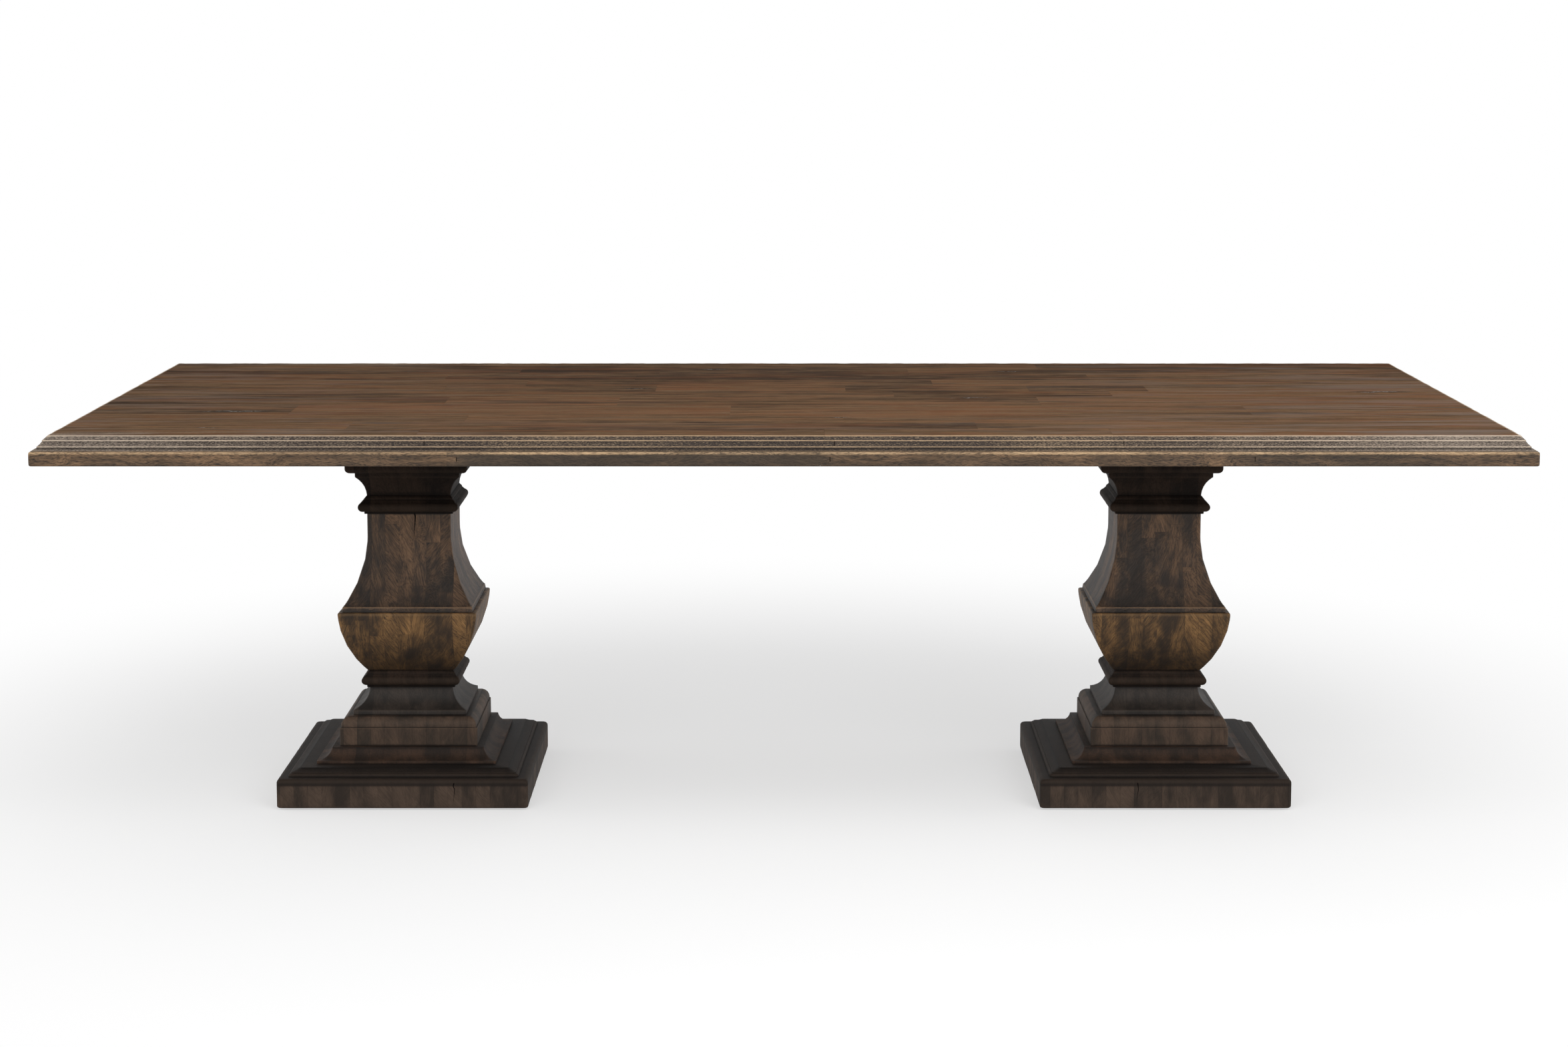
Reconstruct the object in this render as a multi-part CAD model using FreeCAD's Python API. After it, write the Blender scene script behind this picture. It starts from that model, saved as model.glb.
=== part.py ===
import FreeCAD, Part
import math
import os
from FreeCAD import Vector

# Double-pedestal dining table in solid wood, in millimetres. +X runs along the table, +Y towards
# its back and +Z up. The origin is on the floor, under the middle of the top.

# Table top: eleven lanes of finger-jointed boards over a lower rim of edge strips
top_length = 2740.0
top_width = 1220.0
panel_thickness = 26.0
strip_thickness = 27.0
strip_width = 110.0
finger_length = 17.0
finger_gap = 2.0
glue_line = 0.1
finger_layers = 3
# Lane widths from back to front, and the joints along each lane from the left end
lane_width_shares = (0.115, 0.082, 0.084, 0.080, 0.079, 0.078, 0.106, 0.120, 0.080, 0.080, 0.096)
lane_joint_shares = (
    (0.702,),
    (0.292, 0.402, 0.598),
    (0.238, 0.385, 0.736),
    (0.304, 0.613),
    (0.245, 0.404, 0.546, 0.683, 0.772),
    (0.581, 0.742),
    (0.255, 0.380, 0.685),
    (0.152, 0.462, 0.828),
    (0.280, 0.541),
    (0.204, 0.631),
    (0.255, 0.527, 0.719),
)
front_strip_joint_shares = (0.277, 0.524, 0.805)
back_strip_joint_shares = (0.223, 0.481, 0.736)

# Stepped moulding round the top: two hollow facets and a cove, with a riser below each facet
facet_run = 8.0
facet_hollow_share = 0.06
edge_riser = 2.2
cove_run = 8.0
cove_rise = 4.4
cove_hollow_share = 0.09
panel_foot = 0.8
strip_shoulder = 4.5
strip_ease = 2.5

# Battens and bearers across the underside of the boards
batten_width = 90.0
batten_thickness = 27.0
bearer_width = 60.0
bearer_height = 52.0
bearer_end_gap = 20.0
bearer_bevel_run = 60.0
bearer_bevel_rise = 24.0
# Which lanes take a screw from each rail, from back to front
lane_is_screwed = (False, False, True, True, False, True, False, True, True, False, False)

# Pedestals, with their axes this far in from the ends of the top
pedestal_overhang = 620.0

plinth_width = 494.0
plinth_height = 72.0
plinth_face_height = 58.0
plinth_ease = 4.0
plinth_round = 7.5
plinth_step_width = 454.0
plinth_step_foot = 1.0
plinth_bead = 5.5
plinth_riser = 1.5
plinth_top_width = 412.0
plinth_bevel_hollow_share = 0.05

cove_board_width = 356.0
cove_board_height = 27.0
cove_board_fillet = 6.0
cove_board_top_width = 302.0

die_width = 275.0
die_height = 57.0
die_face_height = 36.0
die_step = 2.5
die_top_width = 245.0
die_swell_share = 0.17

scotia_width = 227.0
scotia_height = 51.0
scotia_fillet = 9.5
scotia_hollow_share = 0.17

collar_fillet_out = 5.0
collar_fillet = 5.0
collar_bead_height = 18.0
collar_bead_out = 6.0
collar_riser_out = 5.0
collar_riser = 2.0
lower_collar_width = 197.0
lower_collar_height = 34.0
upper_collar_width = 200.0
upper_collar_height = 36.5

bowl_width = 276.0
bowl_height = 126.5
bowl_foot_width = 172.0
bowl_rim_round = 3.0
bowl_swell_share = 0.085

neck_width = 167.0
neck_height = 192.0
neck_rim_width = 261.0
neck_rim_height = 10.0
neck_rim_lean = 1.5
neck_rim_step = 3.0
neck_flare_height = 147.5
neck_flare_hollow_share = 0.077

capital_width = 208.0
capital_height = 49.0
capital_fascia = 9.5
capital_hollow_share = 0.11

abacus_width = 243.0
abacus_height = 36.0
abacus_round = 9.5

plate_length = 420.0
plate_width = 300.0
plate_thickness = 27.0
plate_chamfer = 8.0

# Tie rod down each pedestal, with a nut and a washer at each end
rod_diameter = 12.0
rod_bore_clearance = 2.0
rod_tail = 4.0
nut_flats = 18.0
nut_height = 10.0
washer_diameter = 36.0
washer_thickness = 3.0
recess_clearance = 4.0
recess_margin = 5.0

# Dowels that locate each block on the next
dowel_diameter = 10.0
dowel_length = 30.0
dowel_offset = 45.0
dowel_clearance = 0.2
dowel_end_gap = 1.0

# Bolts through each top plate into threaded inserts in the bearers
bolt_diameter = 10.0
bolt_spacing_x = 350.0
bolt_spacing_y = 220.0
bolt_head_flats = 17.0
bolt_head_height = 6.4
bolt_washer_diameter = 24.0
bolt_washer_thickness = 2.0
bolt_hole_clearance = 1.0
bolt_tip_gap = 3.0
insert_diameter = 16.0
insert_length = 25.0
insert_clearance = 0.1

# Wood screws, in holes that are slotted across the boards so that the top can swell and shrink
screw_diameter = 5.0
screw_head_diameter = 10.0
screw_head_height = 3.0
screw_bite = 17.0
screw_tip = 6.0
screw_clearance = 0.1
screw_slot_travel = 6.0
screw_pocket_diameter = 13.0
bearer_pocket_depth = 14.0
batten_pocket_depth = 5.0

# Nail-on floor glides
glide_diameter = 32.0
glide_thickness = 4.0
glide_ease = 1.2
glide_inset = 46.0
glide_nail_diameter = 3.0
glide_nail_length = 16.0
glide_nail_clearance = 0.1

# How far every cutting shape runs past what it cuts
overrun = 5.0

# Bulge of a quarter circle, as a share of its chord
quarter_share = (math.sqrt(2) - 1) / 2

# Heights of the stack, from the floor up
plinth_z = glide_thickness
cove_board_z = plinth_z + plinth_height
die_z = cove_board_z + cove_board_height
scotia_z = die_z + die_height
lower_collar_z = scotia_z + scotia_height
bowl_z = lower_collar_z + lower_collar_height
neck_z = bowl_z + bowl_height
upper_collar_z = neck_z + neck_height
capital_z = upper_collar_z + upper_collar_height
abacus_z = capital_z + capital_height
plate_z = abacus_z + abacus_height
bearer_z = plate_z + plate_thickness
panel_z = bearer_z + bearer_height
strip_z = panel_z - strip_thickness
batten_z = panel_z - batten_thickness
top_z = panel_z + panel_thickness

# Where each block rests on the one below it
seat_levels = (cove_board_z, die_z, scotia_z, lower_collar_z, bowl_z,
               neck_z, upper_collar_z, capital_z, abacus_z, plate_z)

bearer_length = top_width - 2 * (strip_width + bearer_end_gap)
pedestal_spacing = top_length - 2 * pedestal_overhang
recess_depth = washer_thickness + nut_height + rod_tail + recess_margin
pedestal_places = {"left": -pedestal_spacing / 2, "right": pedestal_spacing / 2}
nodes = {}


def add_node(name, solids):
    """Keep the solids of one named sub-part."""
    nodes[name] = list(solids)


# Basic shapes
def cylinder(diameter, height, x, y, z):
    return Part.makeCylinder(diameter / 2, height, Vector(x, y, z))


def box(x_range, y_range, z_range):
    size = [high - low for low, high in (x_range, y_range, z_range)]
    return Part.makeBox(*size, Vector(x_range[0], y_range[0], z_range[0]))


def hexagon(flats, height, x, y, z):
    """A hexagonal prism, measured across its flats."""
    corner = flats / math.sqrt(3)
    turns = [math.radians(60 * step) for step in range(7)]
    points = [Vector(x + corner * math.cos(turn), y + corner * math.sin(turn), z) for turn in turns]
    return Part.Face(Part.makePolygon(points)).extrude(Vector(0, 0, height))


def slot(width, travel, height, x, y, z):
    """An upright hole of the given width that is longer by its travel along Y."""
    ends = [cylinder(width, height, x, y + side * travel / 2, z) for side in (-1, 1)]
    middle = box((x - width / 2, x + width / 2), (y - travel / 2, y + travel / 2), (z, z + height))
    return middle.fuse(ends)


# Moulded blocks. An outline is a list of points (out, up, bulge share), from the foot to the top:
# the share bends the stretch that ends at that point, outwards if positive and inwards if negative.
def outline_edges(half, outline, side):
    """The edges of an outline that stands half away from the middle, on the +1 or -1 side."""
    edges = []
    for (out_a, up_a, _), (out_b, up_b, share) in zip(outline, outline[1:]):
        start = Vector(side * (half + out_a), 0, up_a)
        end = Vector(side * (half + out_b), 0, up_b)
        if share:
            bulge = Vector(side * (up_b - up_a), 0, out_a - out_b) * share
            edges.append(Part.Arc(start, (start + end) / 2 + bulge, end).toShape())
        else:
            edges.append(Part.LineSegment(start, end).toShape())
    return edges


def moulded_bar(half, outline, length):
    """A bar along Y with the outline on both its sides."""
    right = outline_edges(half, outline, 1)
    left = outline_edges(half, outline, -1)
    (foot_out, foot_up, _), (head_out, head_up, _) = outline[0], outline[-1]
    foot, head = half + foot_out, half + head_out
    ends = [Part.makeLine(Vector(-foot, 0, foot_up), Vector(foot, 0, foot_up)),
            Part.makeLine(Vector(-head, 0, head_up), Vector(head, 0, head_up))]
    wire = Part.Wire(Part.__sortEdges__(right + left + ends))
    bar = Part.Face(wire).extrude(Vector(0, length, 0))
    bar.translate(Vector(0, -length / 2, 0))
    return bar


def moulded_block(half_x, half_y, outline):
    """A block with the outline round all four sides, mitred at the corners."""
    reach = 2 * (max(half_x, half_y) + max(out for out, _, _ in outline) + overrun)
    across = moulded_bar(half_x, outline, reach)
    along = moulded_bar(half_y, outline, reach)
    along.rotate(Vector(0, 0, 0), Vector(0, 0, 1), 90)
    return across.common(along).Solids[0]


def square_block(outline):
    """A moulded block with a square plan, whose outline is measured from its axis."""
    return moulded_block(0, 0, outline)


# Table top
def lane_ranges():
    """The front and the back of each lane, from the back of the table to its front."""
    ranges = []
    back = top_width / 2
    for share in lane_width_shares:
        front = back - share * top_width
        ranges.append((front, back))
        back = front
    return ranges


def panel_outline():
    """The stepped edge of the boards, measured in from the outer face of the strips below."""
    facet_rise = (panel_thickness - panel_foot - cove_rise - 2 * edge_riser) / 2
    foot_out = -strip_shoulder
    cove_out = foot_out - cove_run
    facet_out = cove_out - facet_run
    cove_up = panel_foot + cove_rise
    facet_up = cove_up + edge_riser + facet_rise
    return [
        (foot_out, 0, 0),
        (foot_out, panel_foot, 0),
        (cove_out, cove_up, -cove_hollow_share),
        (cove_out, cove_up + edge_riser, 0),
        (facet_out, facet_up, -facet_hollow_share),
        (facet_out, facet_up + edge_riser, 0),
        (facet_out - facet_run, panel_thickness, -facet_hollow_share),
    ]


def strip_outline():
    """The outer edge of the strips: eased below, with a rounded shoulder above."""
    return [
        (-strip_ease, 0, 0),
        (0, strip_ease, quarter_share),
        (0, strip_thickness - strip_shoulder, 0),
        (-strip_shoulder, strip_thickness, quarter_share),
    ]


def stave_outline(left, right, low, high):
    """The side outline of one stave. Its middle layer is cut back at a left joint, where the
    neighbour's finger enters with room for glue and a gap at its tip, and runs on as a finger
    at a right joint."""
    layer = (high - low) / finger_layers
    finger_low, finger_high = low + layer, high - layer
    foot, head = low - overrun, high + overrun
    if left is None:
        start = -top_length / 2 - overrun
        left_side = [(start, foot), (start, head)]
    else:
        shoulder, groove_end = left + glue_line, left + finger_length + finger_gap
        groove_low, groove_high = finger_low - glue_line, finger_high + glue_line
        left_side = [(shoulder, foot), (shoulder, groove_low), (groove_end, groove_low),
                     (groove_end, groove_high), (shoulder, groove_high), (shoulder, head)]
    if right is None:
        end = top_length / 2 + overrun
        right_side = [(end, head), (end, foot)]
    else:
        finger_end = right + finger_length
        right_side = [(right, head), (right, finger_high), (finger_end, finger_high),
                      (finger_end, finger_low), (right, finger_low), (right, foot)]
    return left_side + right_side + left_side[:1]


def cut_into_staves(body, joint_shares, y_range, z_range):
    """The staves of one lane, cut out of the body with a finger joint at each share."""
    joints = [top_length * (share - 1 / 2) for share in joint_shares]
    staves = []
    for left, right in zip([None] + joints, joints + [None]):
        points = [Vector(x, y_range[0], z) for x, z in stave_outline(left, right, *z_range)]
        prism = Part.Face(Part.makePolygon(points)).extrude(Vector(0, y_range[1] - y_range[0], 0))
        staves.extend(body.common(prism).Solids)
    return staves


def make_top_boards(pilot_holes):
    """Eleven lanes, each cut out of one panel whose moulding runs round all four edges."""
    panel = moulded_block(top_length / 2, top_width / 2, panel_outline())
    panel.translate(Vector(0, 0, panel_z))
    panel = panel.cut(pilot_holes)
    for number, (lane, joints) in enumerate(zip(lane_ranges(), lane_joint_shares), 1):
        staves = cut_into_staves(panel, joints, lane, (panel_z, top_z))
        add_node(f"top_board_{number:02d}", staves)


def make_edge_strips():
    """A rim under the boards: long strips at front and back, with the end strips between them."""
    half_length, half_width = top_length / 2, top_width / 2
    inner_width = half_width - strip_width
    levels = (strip_z, panel_z)
    rim = moulded_block(half_length, half_width, strip_outline())
    rim.translate(Vector(0, 0, strip_z))
    front = (-half_width - overrun, -inner_width)
    back = (inner_width, half_width + overrun)
    add_node("front_edge_strip", cut_into_staves(rim, front_strip_joint_shares, front, levels))
    add_node("back_edge_strip", cut_into_staves(rim, back_strip_joint_shares, back, levels))
    height = (strip_z - overrun, panel_z + overrun)
    for name, side in (("left", -1), ("right", 1)):
        ends = sorted((side * (half_length - strip_width), side * (half_length + overrun)))
        strip = rim.common(box(ends, (-inner_width, inner_width), height))
        add_node(f"{name}_edge_strip", strip.Solids)


# Battens, bearers and the screws that hold them to the boards
def cross_rail(width, low):
    """A rail under the boards, along Y at the middle, with its lower ends cut on a slope."""
    half, depth = bearer_length / 2, panel_z - low
    rise = bearer_bevel_rise * depth / bearer_height
    inner = half - bearer_bevel_run
    corners = [(-half, panel_z), (-half, low + rise), (-inner, low),
               (inner, low), (half, low + rise), (half, panel_z), (-half, panel_z)]
    points = [Vector(-width / 2, y, z) for y, z in corners]
    return Part.Face(Part.makePolygon(points)).extrude(Vector(width, 0, 0))


def screw_places():
    """The middle of each lane that takes a screw."""
    return [sum(lane) / 2 for lane, screwed in zip(lane_ranges(), lane_is_screwed) if screwed]


def wood_screw(x, y, head_z):
    """A countersunk screw, pointing up, whose head rests at head_z."""
    tip_z = panel_z + screw_bite
    neck_z = head_z + screw_head_height
    head = Part.makeCone(screw_head_diameter / 2, screw_diameter / 2, screw_head_height,
                         Vector(x, y, head_z))
    shank = cylinder(screw_diameter, tip_z - screw_tip - neck_z, x, y, neck_z)
    point = Part.makeCone(screw_diameter / 2, 0, screw_tip, Vector(x, y, tip_z - screw_tip))
    return head.fuse([shank, point]).removeSplitter()


def pilot_hole(x, y):
    """The hole in the boards that one screw bites into."""
    depth = screw_bite + screw_clearance + overrun
    return cylinder(screw_diameter + screw_clearance, depth, x, y, panel_z - overrun)


def screw_holes(x, y, low, pocket_depth):
    """The slotted hole, the countersink and the pocket for one screw in a rail."""
    shank = slot(screw_diameter + screw_clearance, screw_slot_travel, panel_z - low, x, y, low)
    pocket = slot(screw_pocket_diameter, screw_slot_travel, pocket_depth + overrun,
                  x, y, low - overrun)
    sink = Part.makeCone(screw_head_diameter / 2, screw_diameter / 2, screw_head_height,
                         Vector(x, y, low + pocket_depth))
    return [shank, pocket, sink]


def make_rail(name, x, width, low, pocket_depth, more_holes):
    """A batten or bearer at x. Returns its screws and the holes that they need in the boards."""
    rail = cross_rail(width, low)
    rail.translate(Vector(x, 0, 0))
    holes = list(more_holes)
    screws, pilots = [], []
    for y in screw_places():
        holes.extend(screw_holes(x, y, low, pocket_depth))
        screws.append(wood_screw(x, y, low + pocket_depth))
        pilots.append(pilot_hole(x, y))
    add_node(name, rail.cut(holes).Solids)
    return screws, pilots


def plate_bolt_places(x):
    """The four bolts of the top plate at x."""
    return [(x + side_x * bolt_spacing_x / 2, side_y * bolt_spacing_y / 2)
            for side_x in (-1, 1) for side_y in (-1, 1)]


def make_rails():
    """All battens and bearers. Returns the holes that their screws need in the boards."""
    pilots = []
    bearer_screws, batten_screws = [], []
    pocket = insert_diameter + insert_clearance
    for side, x in pedestal_places.items():
        outward = math.copysign(1, x)
        for where, step in (("outer", outward), ("inner", -outward)):
            bearer_x = x + step * bolt_spacing_x / 2
            inserts = [cylinder(pocket, insert_length + bolt_tip_gap + overrun, bolt_x, bolt_y,
                                bearer_z - overrun)
                       for bolt_x, bolt_y in plate_bolt_places(x)]
            screws, holes = make_rail(f"{side}_{where}_bearer", bearer_x, bearer_width, bearer_z,
                                      bearer_pocket_depth, inserts)
            bearer_screws.extend(screws)
            pilots.extend(holes)
    outer_face = (pedestal_spacing + bolt_spacing_x + bearer_width) / 2
    end_batten_x = (outer_face + top_length / 2 - strip_width) / 2
    battens = (("left_end_batten", -end_batten_x), ("centre_batten", 0), ("right_end_batten", end_batten_x))
    for name, x in battens:
        screws, holes = make_rail(name, x, batten_width, batten_z, batten_pocket_depth, ())
        batten_screws.extend(screws)
        pilots.extend(holes)
    add_node("bearer_screws", bearer_screws)
    add_node("batten_screws", batten_screws)
    return pilots


# Pedestal blocks, each with its foot at zero
def plinth_outline():
    half, step = plinth_width / 2, plinth_step_width / 2
    bead_up = plinth_face_height + plinth_step_foot + plinth_bead
    return [
        (half - plinth_ease, 0, 0),
        (half, plinth_ease, quarter_share),
        (half, plinth_face_height - plinth_round, 0),
        (half - plinth_round, plinth_face_height, quarter_share),
        (step, plinth_face_height, 0),
        (step, plinth_face_height + plinth_step_foot, 0),
        (step - plinth_bead, bead_up, quarter_share),
        (step - plinth_bead, bead_up + plinth_riser, 0),
        (plinth_top_width / 2, plinth_height, -plinth_bevel_hollow_share),
    ]


def cove_board_outline():
    return [
        (cove_board_width / 2, 0, 0),
        (cove_board_width / 2, cove_board_fillet, 0),
        (cove_board_top_width / 2, cove_board_height, -quarter_share),
    ]


def die_outline():
    half = die_width / 2
    return [
        (half, 0, 0),
        (half, die_face_height, 0),
        (half - die_step, die_face_height, 0),
        (die_top_width / 2, die_height, die_swell_share),
    ]


def scotia_outline():
    return [
        (scotia_width / 2, 0, 0),
        (scotia_width / 2, scotia_fillet, 0),
        (neck_width / 2, scotia_height, -scotia_hollow_share),
    ]


def collar_outline(width, height):
    """A fillet, a bead and two slopes with a riser between them."""
    neck, root = neck_width / 2, width / 2 - collar_bead_out
    bead_up = collar_fillet + collar_bead_height
    slope_up = bead_up + (height - bead_up - collar_riser) / 2
    bead_share = collar_bead_out / collar_bead_height
    return [
        (neck + collar_fillet_out, 0, 0),
        (neck + collar_fillet_out, collar_fillet, 0),
        (root, collar_fillet, 0),
        (root, bead_up, bead_share),
        (neck + collar_riser_out, slope_up, 0),
        (neck + collar_riser_out, slope_up + collar_riser, 0),
        (neck, height, 0),
    ]


def bowl_outline():
    half = bowl_width / 2
    return [
        (bowl_foot_width / 2, 0, 0),
        (half, bowl_height - bowl_rim_round, bowl_swell_share),
        (half - bowl_rim_round, bowl_height, quarter_share),
    ]


def neck_outline():
    """A leaning rim at the foot, then a flare that runs up into a straight neck."""
    rim = neck_rim_width / 2
    flare = rim - neck_rim_lean - neck_rim_step
    return [
        (rim, 0, 0),
        (rim - neck_rim_lean, neck_rim_height, 0),
        (flare, neck_rim_height + neck_rim_step, 0),
        (neck_width / 2, neck_flare_height, -neck_flare_hollow_share),
        (neck_width / 2, neck_height, 0),
    ]


def capital_outline():
    half = capital_width / 2
    return [
        (neck_width / 2, 0, 0),
        (half, capital_height - capital_fascia, -capital_hollow_share),
        (half, capital_height, 0),
    ]


def abacus_outline():
    half = abacus_width / 2
    return [
        (half - abacus_round, 0, 0),
        (half, abacus_round, quarter_share),
        (half, abacus_height, 0),
    ]


def plate_block():
    """The top plate, with its lower edges chamfered."""
    outline = [(-plate_chamfer, 0, 0), (0, plate_chamfer, 0), (0, plate_thickness, 0)]
    return moulded_block(plate_length / 2, plate_width / 2, outline)


def dowel_places(level_number):
    """The two dowels at one seat, on diagonals that alternate from seat to seat."""
    turn = (-1) ** level_number
    return [(side * dowel_offset, side * turn * dowel_offset) for side in (-1, 1)]


def dowel_holes():
    """The holes of every dowel, about the pedestal's axis."""
    depth = dowel_length + 2 * dowel_end_gap
    return [cylinder(dowel_diameter + dowel_clearance, depth, x, y, level - depth / 2)
            for number, level in enumerate(seat_levels) for x, y in dowel_places(number)]


def make_dowels(x):
    return [cylinder(dowel_diameter, dowel_length, x + dx, dy, level - dowel_length / 2)
            for number, level in enumerate(seat_levels) for dx, dy in dowel_places(number)]


def glide_places(x):
    reach = plinth_width / 2 - glide_inset
    return [(x + side_x * reach, side_y * reach) for side_x in (-1, 1) for side_y in (-1, 1)]


def floor_glide(x, y):
    """A nylon disc, eased at the floor, with the nail that holds it."""
    ease = Part.makeCone(glide_diameter / 2 - glide_ease, glide_diameter / 2, glide_ease, Vector(x, y, 0))
    disc = cylinder(glide_diameter, glide_thickness - glide_ease, x, y, glide_ease)
    nail = cylinder(glide_nail_diameter, glide_nail_length, x, y, glide_thickness)
    return ease.fuse([disc, nail]).removeSplitter()


def washer(outer, inner, thickness, x, y, z):
    return cylinder(outer, thickness, x, y, z).cut(cylinder(inner, thickness, x, y, z))


def tie_nut(x, z):
    return hexagon(nut_flats, nut_height, x, 0, z).cut(cylinder(rod_diameter, nut_height, x, 0, z))


def plate_bolt(x, y):
    """A hexagon-head bolt, pointing up, whose head bears on a washer under the plate."""
    head_top = plate_z - bolt_washer_thickness
    shank_length = bearer_z + insert_length - head_top
    head = hexagon(bolt_head_flats, bolt_head_height, x, y, head_top - bolt_head_height)
    return head.fuse(cylinder(bolt_diameter, shank_length, x, y, head_top))


def make_pedestal_blocks(side, x):
    """The blocks of one pedestal, bored for its tie rod, dowels, bolts and glides."""
    lower_collar = collar_outline(lower_collar_width, lower_collar_height)
    upper_collar = collar_outline(upper_collar_width, upper_collar_height)
    blocks = (
        ("plinth", square_block(plinth_outline()), plinth_z),
        ("cove_board", square_block(cove_board_outline()), cove_board_z),
        ("die_block", square_block(die_outline()), die_z),
        ("scotia_block", square_block(scotia_outline()), scotia_z),
        ("lower_collar", square_block(lower_collar), lower_collar_z),
        ("bowl_block", square_block(bowl_outline()), bowl_z),
        ("neck_block", square_block(neck_outline()), neck_z),
        ("upper_collar", square_block(upper_collar), upper_collar_z),
        ("capital", square_block(capital_outline()), capital_z),
        ("abacus", square_block(abacus_outline()), abacus_z),
        ("top_plate", plate_block(), plate_z),
    )
    bore = cylinder(rod_diameter + rod_bore_clearance, bearer_z + overrun, 0, 0, 0)
    recess = cylinder(washer_diameter + recess_clearance, recess_depth + overrun, 0, 0, plinth_z - overrun)
    bolts = [cylinder(bolt_diameter + bolt_hole_clearance, plate_thickness + 2 * overrun, hole_x, hole_y,
                      plate_z - overrun)
             for hole_x, hole_y in plate_bolt_places(0)]
    nail_depth = glide_nail_length + glide_nail_clearance
    nails = [cylinder(glide_nail_diameter + glide_nail_clearance, nail_depth + overrun, hole_x, hole_y,
                      plinth_z - overrun)
             for hole_x, hole_y in glide_places(0)]
    holes = [bore, recess] + bolts + nails + dowel_holes()
    for name, block, level in blocks:
        block.translate(Vector(0, 0, level))
        block = block.cut(holes)
        block.translate(Vector(x, 0, 0))
        add_node(f"{side}_{name}", block.Solids)


def make_pedestals():
    """Both pedestals and their hardware."""
    nuts, washers, bolts, bolt_washers, inserts = [], [], [], [], []
    low_washer_z = plinth_z + recess_depth - washer_thickness
    low_nut_z = low_washer_z - nut_height
    high_nut_z = bearer_z + washer_thickness
    rod_low = low_nut_z - rod_tail
    rod_high = high_nut_z + nut_height + rod_tail
    rod_hole = rod_diameter + rod_bore_clearance
    for side, x in pedestal_places.items():
        make_pedestal_blocks(side, x)
        add_node(f"{side}_tie_rod", [cylinder(rod_diameter, rod_high - rod_low, x, 0, rod_low)])
        add_node(f"{side}_dowels", make_dowels(x))
        add_node(f"{side}_glides", [floor_glide(*place) for place in glide_places(x)])
        nuts.extend([tie_nut(x, low_nut_z), tie_nut(x, high_nut_z)])
        for level in (low_washer_z, bearer_z):
            washers.append(washer(washer_diameter, rod_hole, washer_thickness, x, 0, level))
        for bolt_x, bolt_y in plate_bolt_places(x):
            bolts.append(plate_bolt(bolt_x, bolt_y))
            bolt_washers.append(washer(bolt_washer_diameter, bolt_diameter + bolt_hole_clearance,
                                       bolt_washer_thickness, bolt_x, bolt_y,
                                       plate_z - bolt_washer_thickness))
            inserts.append(washer(insert_diameter, bolt_diameter, insert_length, bolt_x, bolt_y, bearer_z))
    add_node("tie_nuts", nuts)
    add_node("tie_washers", washers)
    add_node("plate_bolts", bolts)
    add_node("plate_washers", bolt_washers)
    add_node("bearer_inserts", inserts)


make_top_boards(make_rails())
make_edge_strips()
make_pedestals()

os.makedirs("parts", exist_ok=True)
for name, solids in nodes.items():
    shape = Part.Compound(solids)
    shape.exportStep(f"parts/{name}.step")
    state = "valid" if shape.isValid() else "INVALID"
    print(name, len(solids), "solids", round(shape.Volume / 1000), "cm3", state)
print(len(nodes), "nodes, top at", top_z)
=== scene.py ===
# %% [markdown]
# # A dining table on two pedestals
#
# The table is wood all over: a wide top of finger-jointed boards with a stepped moulding, and two
# pedestals stacked from square moulded blocks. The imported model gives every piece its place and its
# size in metres, so this lesson only has to shape the wood more finely and give it its finish.

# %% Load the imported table
import math
import random

import bmesh
import bpy
from mathutils import Matrix, Vector, noise


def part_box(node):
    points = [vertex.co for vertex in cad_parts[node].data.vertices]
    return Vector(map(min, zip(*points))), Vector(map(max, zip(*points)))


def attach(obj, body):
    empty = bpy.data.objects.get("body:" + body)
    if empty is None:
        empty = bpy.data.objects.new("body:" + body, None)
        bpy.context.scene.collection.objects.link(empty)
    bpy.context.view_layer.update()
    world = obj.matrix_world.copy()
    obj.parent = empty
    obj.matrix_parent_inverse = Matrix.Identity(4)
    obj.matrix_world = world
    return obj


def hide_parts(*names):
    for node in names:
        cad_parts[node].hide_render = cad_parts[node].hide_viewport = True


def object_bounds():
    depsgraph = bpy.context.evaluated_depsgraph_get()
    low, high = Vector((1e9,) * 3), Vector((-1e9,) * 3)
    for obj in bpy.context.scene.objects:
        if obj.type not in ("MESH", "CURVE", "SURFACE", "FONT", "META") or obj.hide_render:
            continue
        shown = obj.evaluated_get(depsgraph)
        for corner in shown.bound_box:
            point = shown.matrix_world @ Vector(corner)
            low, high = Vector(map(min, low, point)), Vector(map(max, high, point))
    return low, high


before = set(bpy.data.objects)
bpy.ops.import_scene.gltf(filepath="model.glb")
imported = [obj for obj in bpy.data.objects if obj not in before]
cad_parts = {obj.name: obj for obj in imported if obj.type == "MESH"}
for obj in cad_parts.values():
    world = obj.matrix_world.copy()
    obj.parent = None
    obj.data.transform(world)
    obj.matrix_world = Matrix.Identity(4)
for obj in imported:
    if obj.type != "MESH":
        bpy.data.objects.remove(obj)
cad_low, cad_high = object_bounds()
print("packed nodes:", len(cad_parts), "size:", [round(side, 3) for side in cad_high - cad_low])

# %% [markdown]
# ## Mouldings as outlines
#
# Every block and the rim of the top carry a moulding that runs round four sides. A moulding could be
# a curve with a bevel profile, but a curve can't be cut into boards afterwards. Here an outline is a
# short list of points (out, up, share), from the foot to the top, as a cabinet maker would draw it.
# The share bends the stretch that ends at its point: it is the rise of the arc over its chord,
# positive for a swelling and negative for a hollow.

# %% Rings of an outline
quarter = (math.sqrt(2) - 1) / 2
ring_turn = math.radians(11)
guard_distances = (0.0016, 0.005, 0.012)
guard_share = 0.4


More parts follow.
